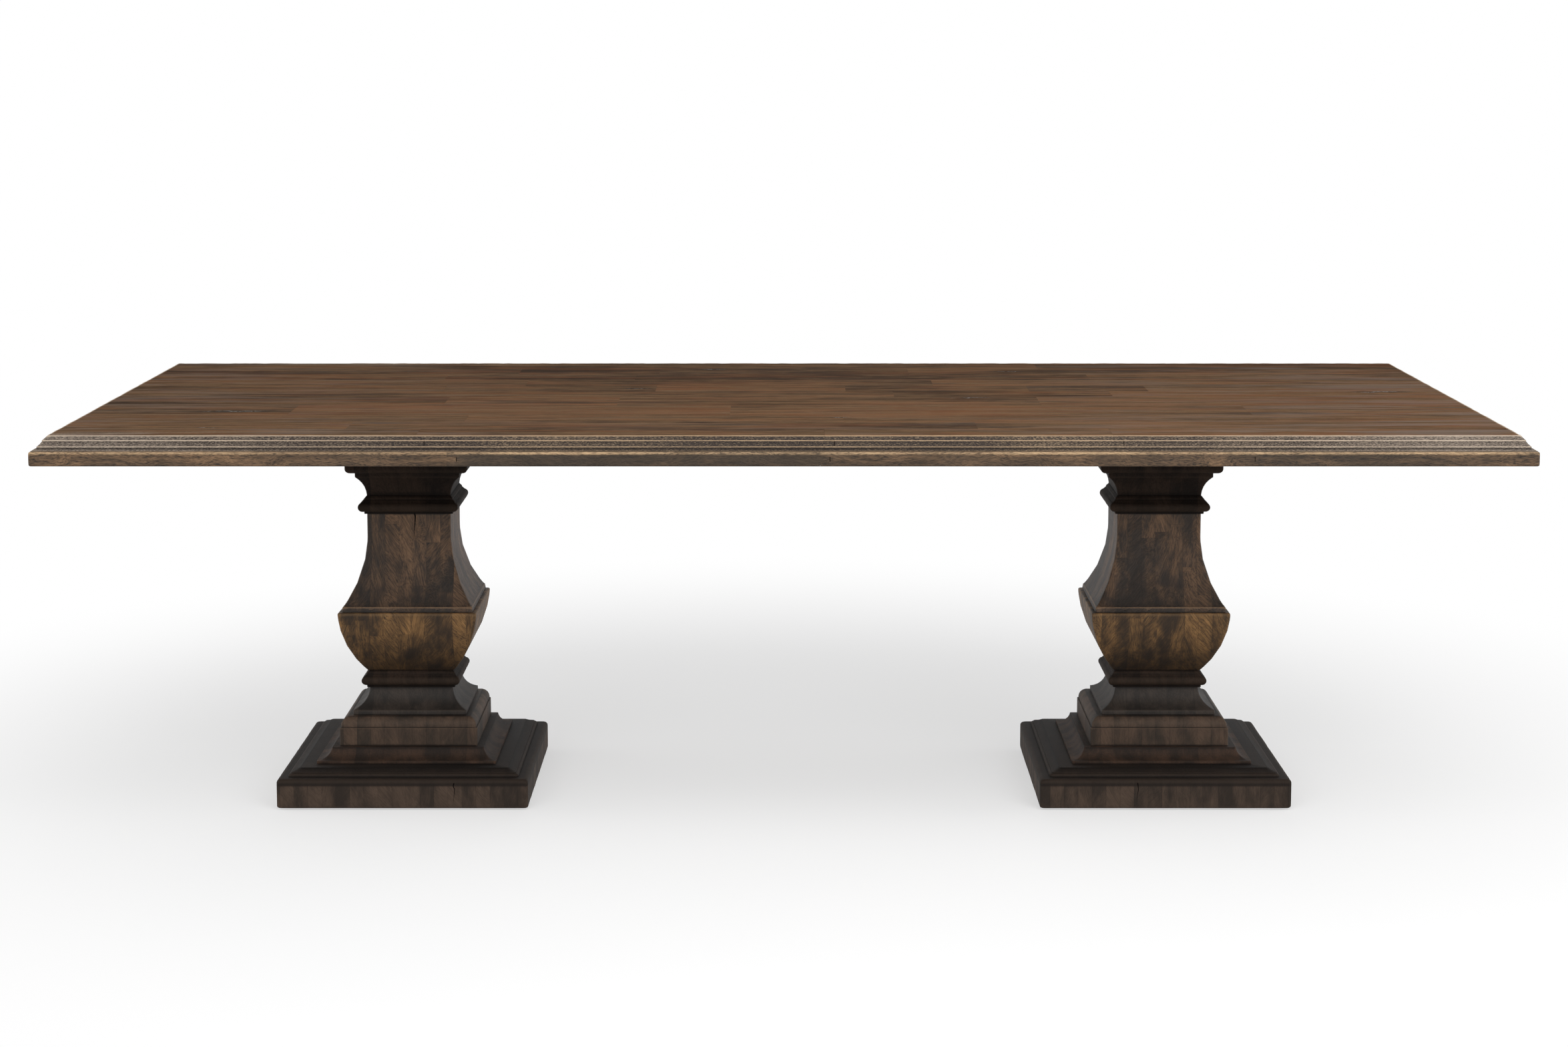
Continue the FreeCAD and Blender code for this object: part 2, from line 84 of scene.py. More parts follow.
def stretch_parts(length, count):
    """Even parts of a stretch, and closer ones near its two ends, where wear changes quickly."""
    parts = {number / count for number in range(1, count + 1)}
    for near in guard_distances:
        if near < guard_share * length / count:
            parts.update((near / length, 1 - near / length))
    return sorted(parts)


def stretch_points(start, end, share):
    """The points of one stretch of an outline, without its start."""
    chord = end - start
    turn = 4 * math.atan(2 * share)
    count = max(1, round(abs(turn) / ring_turn))
    points = []
    for part in stretch_parts(chord.length, count):
        reach = math.sin(part * turn / 2) / math.sin(turn / 2) if turn else part
        points.append(start + Matrix.Rotation((part - 1) * turn / 2, 2) @ chord * reach)
    return points


def outline_rings(outline):
    """All points of an outline, close enough together for its curves to look round."""
    rings = [Vector(outline[0][:2])]
    for point in outline[1:]:
        rings.extend(stretch_points(rings[-1], Vector(point[:2]), point[2]))
    return rings


print("a quarter hollow has", len(outline_rings([(0, 0, 0), (-0.02, 0.02, -quarter)])), "rings")

# %% [markdown]
# ## Pulling a block out of one face
#
# A block could be lofted from hand-made rings of vertices. It is simpler to start from one flat face
# with rounded corners and extrude it again and again: each new face is lifted to the next ring of
# the outline, and its four corners move out or in by the same amount, which makes the mitres.
# The sharp arrises are then eased with a small bevel, and the long sides are divided, so that there
# are vertices enough for wear to show.

# %% Moulded blocks
corner_segments = 3
arris_angle = math.radians(25)
level_tolerance = 1e-6


def faces_in(result):
    return [item for item in result["geom"] if isinstance(item, bmesh.types.BMFace)]


def lift(block, face, step):
    """Extrude the top face by one step of the outline, and return the new top face."""
    top = faces_in(bmesh.ops.extrude_face_region(block, geom=[face]))[0]
    for vert in top.verts:
        across = math.copysign(1, vert.co.x) * step.x
        along = math.copysign(1, vert.co.y) * step.x
        vert.co += Vector((across, along, step.y))
    return top


def is_arris(edge):
    """Whether an edge runs level round the block and stands out sharply."""
    low, high = edge.verts
    level = abs(low.co.z - high.co.z) < level_tolerance
    return level and edge.is_manifold and edge.calc_face_angle_signed() > arris_angle


def divide_sides(block, half_sizes, spacing):
    """Cut the long edges along X and along Y into stretches of about the spacing."""
    for axis, half in enumerate(half_sizes):
        along = [edge for edge in block.edges
                 if abs(edge.verts[0].co[axis] - edge.verts[1].co[axis]) > half]
        cuts = max(1, round(2 * half / spacing) - 1)
        bmesh.ops.subdivide_edges(block, edges=along, cuts=cuts)


def ease_edges(block, edges, width, segments):
    """Bevel some edges, and return what the bevel made."""
    return bmesh.ops.bevel(block, geom=edges, offset=width, segments=segments, profile=0.5,
                           affect="EDGES", material=-1, clamp_overlap=True)


def close_holes(block):
    rim = [edge for edge in block.edges if edge.is_boundary]
    bmesh.ops.holes_fill(block, edges=rim, sides=0)
    bmesh.ops.recalc_face_normals(block, faces=block.faces)


def moulded_block(half_x, half_y, outline, corner, ease, spacing):
    """A closed block with the outline round all four sides."""
    rings = outline_rings(outline)
    foot = rings[0]
    block = bmesh.new()
    bmesh.ops.create_grid(block, x_segments=1, y_segments=1, size=1)
    bmesh.ops.scale(block, vec=(half_x + foot.x, half_y + foot.x, 1), verts=block.verts)
    bmesh.ops.translate(block, vec=(0, 0, foot.y), verts=block.verts)
    bmesh.ops.bevel(block, geom=block.verts[:], offset=corner, segments=corner_segments, profile=0.5,
                    affect="VERTICES", material=-1)
    block.faces.ensure_lookup_table()
    face = block.faces[0]
    for low, high in zip(rings, rings[1:]):
        face = lift(block, face, high - low)
    bmesh.ops.recalc_face_normals(block, faces=block.faces)
    ease_edges(block, [edge for edge in block.edges if is_arris(edge)], ease, segments=2)
    caps = [face for face in block.faces if len(face.verts) > 4]
    bmesh.ops.delete(block, geom=caps, context="FACES")
    narrowest = min(ring.x for ring in rings)
    divide_sides(block, (half_x + narrowest, half_y + narrowest), spacing)
    close_holes(block)
    return block


# %% [markdown]
# ## Wear that follows the moulding
#
# The real table is rubbed pale along its arrises and dark with wax in its nooks. Blender can find
# sharp edges in a shader, but that is lost when the model is exported. Instead each vertex gets a
# number called wear, worked out from the corners of the outline: near an arris it goes up to one,
# and near a nook it goes down to minus one. The same number takes a little wood off the arrises.

# %% Wear as a vertex attribute
mitre_wear = 0.45
bite_rate = 55
least_bite = 0.25
seat_wear = -0.7
full_turn = math.radians(60)
smallest_turn = math.radians(3)


def outline_corners(outline, seats):
    """Where an outline turns and how sharply, and the seats where the block meets the next ones."""
    rings = outline_rings(outline)
    corners = [(rings[index], seat_wear) for index in seats]
    for before, here, after in zip(rings, rings[1:], rings[2:]):
        came, goes = here - before, after - here
        turn = math.atan2(came.x * goes.y - came.y * goes.x, came.dot(goes))
        if abs(turn) > smallest_turn:
            corners.append((here, max(-1.0, min(1.0, turn / full_turn))))
    return corners


def wear_of(place, half_x, half_y, corners, reach):
    """The wear at one place on a block that stands on the origin."""
    side_x, side_y = abs(place.x) - half_x, abs(place.y) - half_y
    out = Vector((max(side_x, side_y), place.z))
    wear = sum(sharp * math.exp(-(out - corner).length / reach) for corner, sharp in corners)
    wear += mitre_wear * math.exp(-abs(side_x - side_y) / reach)
    return max(-1.0, min(1.0, wear))


def wear_down(block, half_x, half_y, outline, seats, reach, depth, shift):
    """Store the wear and take up to the depth off the arrises, unevenly."""
    layer = block.verts.layers.float.new("wear")
    corners = outline_corners(outline, seats)
    block.normal_update()
    for vert in block.verts:
        wear = wear_of(vert.co, half_x, half_y, corners, reach)
        vert[layer] = wear
        bite = max(0.0, least_bite + (1 - least_bite) * noise.noise((vert.co + shift) * bite_rate))
        vert.co -= vert.normal * depth * bite * max(0.0, wear)


# %% [markdown]
# ## From a bmesh to a piece of the table
#
# A finished piece is an object at the origin, with its place in its mesh. It rides on the table's one
# body and stands for its imported node.

# %% Finished pieces
smooth_angle = math.radians(38)
shortest_edge = 5e-6
pieces = {}


def face_outwards(block):
    """Turn all faces of one closed block outwards, and take out faces with no area."""
    bmesh.ops.dissolve_degenerate(block, dist=shortest_edge, edges=block.edges)
    loose = [edge for edge in block.edges if not edge.link_faces]
    bmesh.ops.delete(block, geom=loose, context="EDGES")
    bmesh.ops.recalc_face_normals(block, faces=block.faces)
    if block.calc_volume(signed=True) < 0:
        bmesh.ops.reverse_faces(block, faces=block.faces)


def object_of(name, block):
    """A new object at the origin, with the mesh of a bmesh."""
    mesh = bpy.data.meshes.new(name)
    block.to_mesh(mesh)
    block.free()
    made = bpy.data.objects.new(name, mesh)
    bpy.context.scene.collection.objects.link(made)
    return made


def make_piece(node, block):
    """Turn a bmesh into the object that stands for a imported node."""
    piece = object_of(f"{node}_wood", block)
    piece.data.shade_smooth()
    piece.data.set_sharp_from_angle(angle=smooth_angle)
    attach(piece, "root")
    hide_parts(node)
    pieces[node] = piece


def join_into(block, part):
    """Add one bmesh to another, through a mesh that both can read."""
    carrier = bpy.data.meshes.new("carrier")
    part.to_mesh(carrier)
    part.free()
    block.from_mesh(carrier)
    bpy.data.meshes.remove(carrier)


# %% [markdown]
# ## The top in one piece
#
# The boards were glued up into one panel before the moulding was run round its edge, so the lesson
# does the same: one moulded block first, and the boards are cut out of it afterwards. The moulding
# has a small cove at the foot, then two hollow facets, with a thin riser below each facet.

# %% The moulded panel
half_length, half_width = cad_high.x, cad_high.y
panel_foot_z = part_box("top_board_06")[0].z
panel_thickness = cad_high.z - panel_foot_z
facet_run = 0.008
facet_hollow_share = 0.06
edge_riser = 0.0022
cove_run = 0.008
cove_rise = 0.0044
cove_hollow_share = 0.09
panel_foot = 0.0008
strip_shoulder = 0.0045
flat_margin = 0.004
panel_corner = 0.004
panel_ease = 0.0008
panel_spacing = 0.011
panel_reach = 0.0018
panel_bite = 0.0011


def panel_outline():
    """The stepped edge, measured in from the outer face of the strips below it."""
    facet_rise = (panel_thickness - panel_foot - cove_rise - 2 * edge_riser) / 2
    cove_out = -strip_shoulder - cove_run
    facet_out = cove_out - facet_run
    top_out = facet_out - facet_run
    cove_up = panel_foot + cove_rise
    facet_up = cove_up + edge_riser + facet_rise
    return [
        (-strip_shoulder, 0, 0),
        (-strip_shoulder, panel_foot, 0),
        (cove_out, cove_up, -cove_hollow_share),
        (cove_out, cove_up + edge_riser, 0),
        (facet_out, facet_up, -facet_hollow_share),
        (facet_out, facet_up + edge_riser, 0),
        (top_out, panel_thickness, -facet_hollow_share),
        (top_out - flat_margin, panel_thickness, 0),
    ]


def top_layer(outline, seats, bite, shift, foot_z):
    """One worn layer of the top, as long and wide as the table, with its foot at a height."""
    layer = moulded_block(half_length, half_width, outline, panel_corner, panel_ease, panel_spacing)
    wear_down(layer, half_length, half_width, outline, seats, panel_reach, bite, Vector(shift))
    bmesh.ops.translate(layer, vec=(0, 0, foot_z), verts=layer.verts)
    return layer


panel = top_layer(panel_outline(), seats=(0,), bite=panel_bite, shift=(3, 5, 7), foot_z=panel_foot_z)
print("panel:", len(panel.faces), "faces")

# %% [markdown]
# ## Cutting boards out of the panel
#
# A lane of boards is what is left of the panel between two cuts along the table, and a stave is what
# is left of a lane between two cuts across it. The bisect operator does both, and every cut is closed
# again. The edges of a cut are eased a little, so that each seam shows as a fine dark line. Every
# face keeps two numbers for the finish: the tone of its stave and a number to tell staves apart.

# %% Cutting and marking staves
cut_tolerance = 1e-6
plane_tolerance = 10 * cut_tolerance
seam = 0.0004


def everything(block):
    return block.verts[:] + block.edges[:] + block.faces[:]


def axis_vector(axis, length):
    vector = Vector((0, 0, 0))
    vector[axis] = length
    return vector


def cut_away(block, axis, place, side):
    """Cut off all that lies on one side of a plane, and close the cut."""
    cut = bmesh.ops.bisect_plane(block, geom=everything(block), dist=cut_tolerance, clear_outer=True,
                                 plane_co=axis_vector(axis, place), plane_no=axis_vector(axis, side))
    rim = [item for item in cut["geom_cut"] if isinstance(item, bmesh.types.BMEdge)]
    bmesh.ops.holes_fill(block, edges=rim, sides=0)


def slice_of(block, axis, low, high):
    """A copy of a block between two planes. A limit of None leaves that side as it is."""
    piece = block.copy()
    for place, side in ((low, -1), (high, 1)):
        if place is not None:
            cut_away(piece, axis, place, side)
    return piece


def faces_at(block, axis, place):
    """The faces that lie in one plane across an axis."""
    return [face for face in block.faces
            if all(abs(vert.co[axis] - place) < plane_tolerance for vert in face.verts)]


def ease_cuts(block, cuts):
    """Bevel the upper edges of the closed cuts, and mark the new faces as seams."""
    layer = block.faces.layers.float.new("nook")
    top = max(vert.co.z for vert in block.verts) - cut_tolerance
    edges = set()
    for axis, place in cuts:
        for face in faces_at(block, axis, place):
            edges.update(edge for edge in face.edges if all(vert.co.z > top for vert in edge.verts))
    made = ease_edges(block, list(edges), seam, segments=1)
    for face in made["faces"]:
        face[layer] = 1.0


def mark_stave(block, tone, number):
    """Give all faces of one stave its tone and its number."""
    for name, value in (("tone", tone), ("stave", number)):
        layer = block.faces.layers.float.new(name)
        for face in block.faces:
            face[layer] = value


# %% [markdown]
# ## Finger joints
#
# Staves are joined end to end: the middle third of one runs on as a finger into a groove in the next,
# and a small black slot stays open at its tip. On the front and back edges the joint is in plain
# sight, so it is made there for real. The finger is the middle of the end face, extruded. For the
# groove the faces in front of it are deleted, and its two cheeks and its floor are filled in.

# %% Fingers and grooves
finger_length = 0.017
finger_gap = 0.001
glue_line = 0.0003


def with_edges(faces):
    """Faces with their edges and vertices, as the bisect operator wants them."""
    edges = {edge for face in faces for edge in face.edges}
    verts = {vert for face in faces for vert in face.verts}
    return list(faces) + list(edges) + list(verts)


def score_levels(block, faces_now, levels):
    """Score lines at the given heights across the faces that faces_now finds."""
    for level in levels:
        bmesh.ops.bisect_plane(block, geom=with_edges(faces_now()), dist=cut_tolerance,
                               plane_co=(0, 0, level), plane_no=(0, 0, 1))


def between(faces, levels):
    low, high = levels
    return [face for face in faces if low < face.calc_center_median().z < high]


def add_finger(stave, end, levels):
    """Pull the middle of a stave's right end out into a finger."""
    score_levels(stave, lambda: faces_at(stave, 0, end), levels)
    middle = between(faces_at(stave, 0, end), levels)
    made = bmesh.ops.extrude_face_region(stave, geom=middle)
    verts = [item for item in made["geom"] if isinstance(item, bmesh.types.BMVert)]
    bmesh.ops.translate(stave, vec=(finger_length, 0, 0), verts=verts)
    left_inside = [face for face in middle if face.is_valid]
    bmesh.ops.delete(stave, geom=left_inside, context="FACES_ONLY")


def edges_at(edges, axis, place):
    """Those of the edges that lie in one plane across an axis."""
    return [edge for edge in edges
            if all(abs(vert.co[axis] - place) < cut_tolerance for vert in edge.verts)]


def cut_groove(stave, start, levels):
    """Open a groove in a stave's left end, right through from front to back."""
    floor = start + finger_length + finger_gap
    bmesh.ops.bisect_plane(stave, geom=everything(stave), dist=cut_tolerance,
                           plane_co=(floor, 0, 0), plane_no=(1, 0, 0))

    def near_faces():
        return [face for face in stave.faces if face.calc_center_median().x < floor - cut_tolerance]

    score_levels(stave, near_faces, levels)
    bmesh.ops.delete(stave, geom=between(near_faces(), levels), context="FACES")
    rim = [edge for edge in stave.edges if edge.is_boundary]
    floor_edges = edges_at(rim, 0, floor)
    for level in levels:
        cheek = edges_at(rim, 2, level)
        verts = {vert for edge in cheek for vert in edge.verts}
        ends = [vert for vert in verts if abs(vert.co.x - floor) < cut_tolerance]
        back_edge = stave.edges.new(ends)
        floor_edges.append(back_edge)
        bmesh.ops.contextual_create(stave, geom=cheek + [back_edge])
    bmesh.ops.contextual_create(stave, geom=floor_edges)


# %% [markdown]
# ## Eleven lanes of boards
#
# The joints and the tones were read from the photograph. A tone of 0 is the darkest stave and
# 1 the palest. Only the first and the last lane show their finger joints at the edge of the table;
# the joints of the others are straight seams on the top.

# %% Lanes and staves
lane_joint_shares = (
    (0.702,),
    (0.292, 0.402, 0.598),
    (0.238, 0.385, 0.736),
    (0.304, 0.613),
    (0.245, 0.404, 0.546, 0.683, 0.772),
    (0.581, 0.742),
    (0.255, 0.380, 0.685),
    (0.152, 0.462, 0.828),
    (0.280, 0.541),
    (0.204, 0.631),
    (0.255, 0.527, 0.719),
)
lane_tones = (
    (0.22, 0.07),
    (0.24, 0.04, 0.10, 0.26),
    (0.38, 0.20, 0.20, 0.32),
    (0.45, 0.28, 0.62),
    (0.42, 0.30, 0.82, 0.40, 0.22, 0.64),
    (0.46, 0.36, 0.68),
    (0.30, 0.62, 0.44, 0.72),
    (0.42, 0.86, 0.62, 0.64),
    (0.60, 0.60, 0.64),
    (0.60, 0.45, 0.62),
    (0.52, 0.44, 0.58, 0.64),
)
stave_count = 0


def thirds(low, high):
    third = (high - low) / 3
    return low + third, high - third


def lane_sides(lane):
    """The planes of a lane's two long sides."""
    places = [vert.co.y for vert in lane.verts]
    return min(places), max(places)


def staves_of(lane, joint_shares, tones, levels):
    """Cut a lane into its staves and join them into one bmesh. Levels ask for fingers."""
    global stave_count
    joints = [half_length * (2 * share - 1) for share in joint_shares]
    gap = glue_line / 2 if levels else 0
    result = bmesh.new()
    for left, right, tone in zip([None] + joints, joints + [None], tones):
        start = None if left is None else left + gap
        end = None if right is None else right - gap
        stave = slice_of(lane, 0, start, end)
        ends = [] if levels else [place for place in (start, end) if place is not None]
        ease_cuts(stave, [(0, place) for place in ends] + [(1, place) for place in lane_sides(lane)])
        if levels and start is not None:
            cut_groove(stave, start, levels)
        if levels and end is not None:
            add_finger(stave, end, (levels[0] + gap, levels[1] - gap))
        stave_count += 1
        mark_stave(stave, tone, stave_count)
        face_outwards(stave)
        join_into(result, stave)
    lane.free()
    return result


def make_lanes():
    """Cut the panel into its lanes, from the back to the front."""
    last = len(lane_joint_shares)
    for number, (shares, tones) in enumerate(zip(lane_joint_shares, lane_tones), 1):
        node = f"top_board_{number:02d}"
        low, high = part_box(node)
        edge_lane = number in (1, last)
        lane = slice_of(panel, 1, None if number == last else low.y, None if number == 1 else high.y)
        levels = thirds(low.z, high.z) if edge_lane else None
        make_piece(node, staves_of(lane, shares, tones, levels))


make_lanes()
panel.free()
print("staves in the top:", stave_count)

# %% [markdown]
# ## The layer under the rim
#
# A second layer of staves goes round under the rim and makes the top look twice as thick. Like the
# panel it is one moulded block first. The front and back strips run the whole length of the table and
# the end strips stand between them, so the block is cut the same way, and its hidden middle is left out.

# %% Edge strips
strip_foot_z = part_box("front_edge_strip")[0].z
strip_thickness = panel_foot_z - strip_foot_z
strip_ease = 0.0025
strip_bite = 0.0012
strip_joint_shares = {"front": (0.277, 0.524, 0.805), "back": (0.223, 0.481, 0.736)}
strip_tones = {"front": (0.46, 0.26, 0.40, 0.34), "back": (0.40, 0.50, 0.35, 0.55)}
end_strip_tone = 0.45
# The end strips are numbered past the last stave.
end_strip_numbers = {"left": 4, "right": 5}
strip_outline = [
    (-strip_ease, 0, 0),
    (0, strip_ease, quarter),
    (0, strip_thickness - strip_shoulder, 0),
    (-strip_shoulder, strip_thickness, quarter),
]


def make_strips(ring):
    """Cut the four strips out of the ring's block."""
    levels = thirds(strip_foot_z, panel_foot_z)
    front_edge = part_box("front_edge_strip")[1].y
    back_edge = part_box("back_edge_strip")[0].y
    for side, low, high in (("front", None, front_edge), ("back", back_edge, None)):
        lane = slice_of(ring, 1, low, high)
        staves = staves_of(lane, strip_joint_shares[side], strip_tones[side], levels)
        make_piece(f"{side}_edge_strip", staves)
    middle = slice_of(ring, 1, front_edge, back_edge)
    left_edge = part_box("left_edge_strip")[1].x
    right_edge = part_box("right_edge_strip")[0].x
    for side, low, high in (("left", None, left_edge), ("right", right_edge, None)):
        strip = slice_of(middle, 0, low, high)
        ease_cuts(strip, [(1, front_edge), (1, back_edge)])
        mark_stave(strip, end_strip_tone, stave_count + end_strip_numbers[side])
        face_outwards(strip)
        make_piece(f"{side}_edge_strip", strip)
    middle.free()


strip_ring = top_layer(strip_outline, seats=(0, -1), bite=strip_bite, shift=(1, 2, 9),
                       foot_z=strip_foot_z)
make_strips(strip_ring)
strip_ring.free()
print("staves with the strips:", stave_count)

# %% [markdown]
# ## Pedestal blocks
#
# Each pedestal is a stack of ten square blocks, glued up from strips and moulded round all four sides.
# The outlines are measured out from the middle of the block, so a block starts from a size of nothing.
# They follow the curves seen at the sides of the pedestals in the photograph.

# %% Outlines of the blocks
def mm(points):
    """Outlines are easier to read in millimetres. Shares have no unit."""
    return [(out / 1000, up / 1000, share) for out, up, share in points]


def collar_outline(root, slope_up, height):
    """A collar with a rounded roll and a slope above it."""
    return mm([(88.5, 0, 0), (88.5, 5, 0), (root, 5, 0), (root, 23, 1 / 3), (88.5, slope_up, 0),
               (88.5, slope_up + 2, 0), (83.5, height, 0)])


block_outlines = {
    "plinth": mm([(243, 0, 0), (247, 4, quarter), (247, 50.5, 0), (239.5, 58, quarter), (227, 58, 0),
                  (227, 59, 0), (221.5, 64.5, quarter), (221.5, 66, 0), (206, 72, -0.05)]),
    "cove_board": mm([(178, 0, 0), (178, 6, 0), (151, 27, -quarter)]),
    "die_block": mm([(137.5, 0, 0), (137.5, 36, 0), (135, 36, 0), (122.5, 57, 0.17)]),
    "scotia_block": mm([(113.5, 0, 0), (113.5, 9.5, 0), (83.5, 51, -0.17)]),
    "lower_collar": collar_outline(92.5, 27.5, 34),
    "bowl_block": mm([(86, 0, 0), (138, 123.5, 0.085), (135, 126.5, quarter)]),
    "neck_block": mm([(130.5, 0, 0), (129, 10, 0), (126, 13, 0), (83.5, 147.5, -0.077), (83.5, 192, 0)]),
    "upper_collar": collar_outline(94, 28.75, 36.5),
    "capital": mm([(83.5, 0, 0), (104, 39.5, -0.11), (104, 49, 0)]),
    "abacus": mm([(112, 0, 0), (121.5, 9.5, quarter), (121.5, 36, 0)]),
}
stack_height = sum(outline[-1][1] for outline in block_outlines.values())
print("blocks:", len(block_outlines), "height of a stack:", round(stack_height, 4))

# %% [markdown]
# ## Nail holes and splits
#
# The rim of the neck has a few small nail holes, and some faces have split along a strip. They are real
# hollows: a hole is a face that is inset, rounded and pushed in, and a split is a line of edges that
# is bevelled, narrowed towards its foot and pushed in along its middle.

# %% Holes and splits
hole_radius = 0.0010
hole_depth = 0.004
split_depth = 0.005
split_waver = 0.004
waver_rate = 90
hole_inset_share = 0.3
split_middle_share = 0.2


def nearest(items, place, where):
    return min(items, key=lambda item: (where(item) - Vector(place)).length)


def punch_hole(block, place):
    """Push a small round hole into the face nearest to a place."""
    nook = block.faces.layers.float["nook"]
    face = nearest(block.faces, place, lambda face: face.calc_center_median())
    shortest = min(edge.calc_length() for edge in face.edges)
    bmesh.ops.inset_individual(block, faces=[face], thickness=hole_inset_share * shortest,
                               use_even_offset=True)
    for edge in list(face.edges):
        bmesh.utils.edge_split(edge, edge.verts[0], 0.5)
    centre, inward = face.calc_center_median(), -face.normal
    for vert in face.verts:
        vert.co = centre + (vert.co - centre).normalized() * hole_radius
    floor = faces_in(bmesh.ops.extrude_face_region(block, geom=[face]))[0]
    bmesh.ops.delete(block, geom=[face], context="FACES_ONLY")
    bmesh.ops.translate(block, vec=inward * hole_depth, verts=floor.verts)
    for hollow in [floor] + [other for edge in floor.edges for other in edge.link_faces]:
        hollow[nook] = 1.0


def walk_down(vert, foot):
    """The edges straight down a face, from a vertex to the height of the split's foot."""
    chain = []
    while vert.co.z > foot:
        edge = max(vert.link_edges, key=lambda edge: vert.co.z - edge.other_vert(vert).co.z)
        chain.append(edge)
        vert = edge.other_vert(vert)
    return chain


def open_split(block, place, foot, width):
    """Open a split from a place on the front or the back of a block downwards."""
    nook = block.faces.layers.float["nook"]
    start = nearest(block.verts, place, lambda vert: vert.co)
    head, inward = start.co.z, Vector((0, -math.copysign(1, start.co.y), 0))
    chain = walk_down(start, foot)
    for edge in chain[1:]:
        edge.verts[0].co.x += split_waver * noise.noise(edge.verts[0].co * waver_rate)
    line = [vert.co.copy() for edge in chain for vert in edge.verts]
    made = ease_edges(block, chain, width / 2, segments=2)
    for vert in made["verts"]:
        middle = min(line, key=lambda point: abs(point.z - vert.co.z))
        share = max(0.0, min(1.0, (vert.co.z - foot) / (head - foot)))
        aside = vert.co.x - middle.x
        vert.co.x = middle.x + aside * share
        if abs(aside) < split_middle_share * width:
            vert.co += inward * split_depth * share
    for face in made["faces"]:
        face[nook] = 1.0


# %% [markdown]
# ## Two stacks of blocks
#
# Both pedestals have the same ten blocks. They could be linked copies of one stack, but then both would
# be worn in the same places, so each block is made anew, with a shift of its own for the noise.

# %% Blocks on both pedestals
block_corner = {"plinth": 0.006}
plain_corner = 0.003
block_ease = 0.0007
block_spacing = 0.008
block_reach = 0.0024
block_bite = 0.0012
neck_holes = (-0.071, -0.065, -0.020, 0.062, 0.097)
hole_up = 0.005
shift_range = 9
wear_seed = 11
front_side, back_side = -1, 1
# A split starts at this point of its block's outline.
split_heads = {"neck_block": -1, "plinth": 2}
# Each split has its place across, its side of the block, the height of its foot, and its width.
splits = {
    "left_neck_block": ((0.012, front_side, 0.140, 0.0030), (-0.030, back_side, 0.150, 0.0022)),
    "right_neck_block": ((-0.024, back_side, 0.145, 0.0026),),
    "left_plinth": ((0.105, front_side, 0.006, 0.0020),),
    "right_plinth": ((-0.060, front_side, 0.010, 0.0018), (0.120, back_side, 0.004, 0.0020)),
}


def mark_sides(block):
    """Mark the left and right sides, so that the finish can turn its glued strips to them."""
    flank = block.faces.layers.float.new("flank")
    for face in block.faces:
        centre = face.calc_center_median()
        face[flank] = float(abs(centre.x) > abs(centre.y))


def make_block(side, kind, shift):
    """One block, worn, holed and split, and set on its pedestal."""
    node = f"{side}_{kind}"
    low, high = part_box(node)
    outline = block_outlines[kind]
    block = moulded_block(0, 0, outline, block_corner.get(kind, plain_corner), block_ease, block_spacing)
    wear_down(block, 0, 0, outline, (0, -1), block_reach, block_bite, shift)
    block.faces.layers.float.new("nook")
    mark_sides(block)
    if kind == "neck_block":
        for across in neck_holes:
            punch_hole(block, (across, -outline[0][0], hole_up))
            punch_hole(block, (-across, outline[0][0], hole_up))
    for across, way, foot, width in splits.get(node, ()):
        out, head, _ = outline[split_heads[kind]]
        open_split(block, (across, way * out, head), foot, width)
    seat = ((low.x + high.x) / 2, (low.y + high.y) / 2, low.z)
    bmesh.ops.translate(block, vec=seat, verts=block.verts)
    face_outwards(block)
    make_piece(node, block)


dice = random.Random(wear_seed)
for side in ("left", "right"):
    for kind in block_outlines:
        make_block(side, kind, Vector((dice.random(), dice.random(), dice.random())) * shift_range)
print("pieces:", len(pieces), "faces:", sum(len(piece.data.polygons) for piece in pieces.values()))

# %% [markdown]
# ## Small helpers for shader nodes
#
# The finishes are procedural: they are worked out from the place on the table, so they need no images
# and stay sharp from near by. Node trees in code soon get long, so a node's output is wrapped here as a
# field that can be added and multiplied like a number, and each sum becomes a math node. An input is
# a field or a plain value. Colours are written as they look on a screen, from 0 to 255.

# %% Fields and nodes
class Field:
    """A node's output, as a value that changes over the surface."""

    def __init__(self, socket):
        self.socket = socket
        self.tree = socket.id_data

    def math(self, operation, *others):
        return new_field(self.tree, "Math", dict(enumerate((self, *others))), operation=operation)

    def __add__(self, other):
        return self.math("ADD", other)

    def __sub__(self, other):
        return self.math("SUBTRACT", other)

    def __mul__(self, other):
        return self.math("MULTIPLY", other)

    def __truediv__(self, other):
        return self.math("DIVIDE", other)


def feed(socket, source):
    """Link a field to an input, or set the input to a plain value."""
    if isinstance(source, Field):
        source.tree.links.new(source.socket, socket)
    else:
        socket.default_value = source


def new_node(tree, kind, inputs, **settings):
    """Add a shader node, set its properties and feed its inputs."""
    node = tree.nodes.new(f"ShaderNode{kind}")
    for name, value in settings.items():
        setattr(node, name, value)
    for key, source in inputs.items():
        feed(node.inputs[key], source)
    return node


def new_field(tree, kind, inputs, output=0, **settings):
    """Add a shader node and return one of its outputs."""
    return Field(new_node(tree, kind, inputs, **settings).outputs[output])


def fields_of(node):
    return {socket.name: Field(socket) for socket in node.outputs}


# %% Patterns and colours
def vector_math(place, operation, *others):
    return new_field(place.tree, "VectorMath", dict(enumerate((place, *others))), operation=operation)


def vector_of(*parts):
    return new_field(parts[-1].tree, "CombineXYZ", dict(enumerate(parts)))


def axes_of(place):
    return list(fields_of(new_node(place.tree, "SeparateXYZ", {0: place})).values())


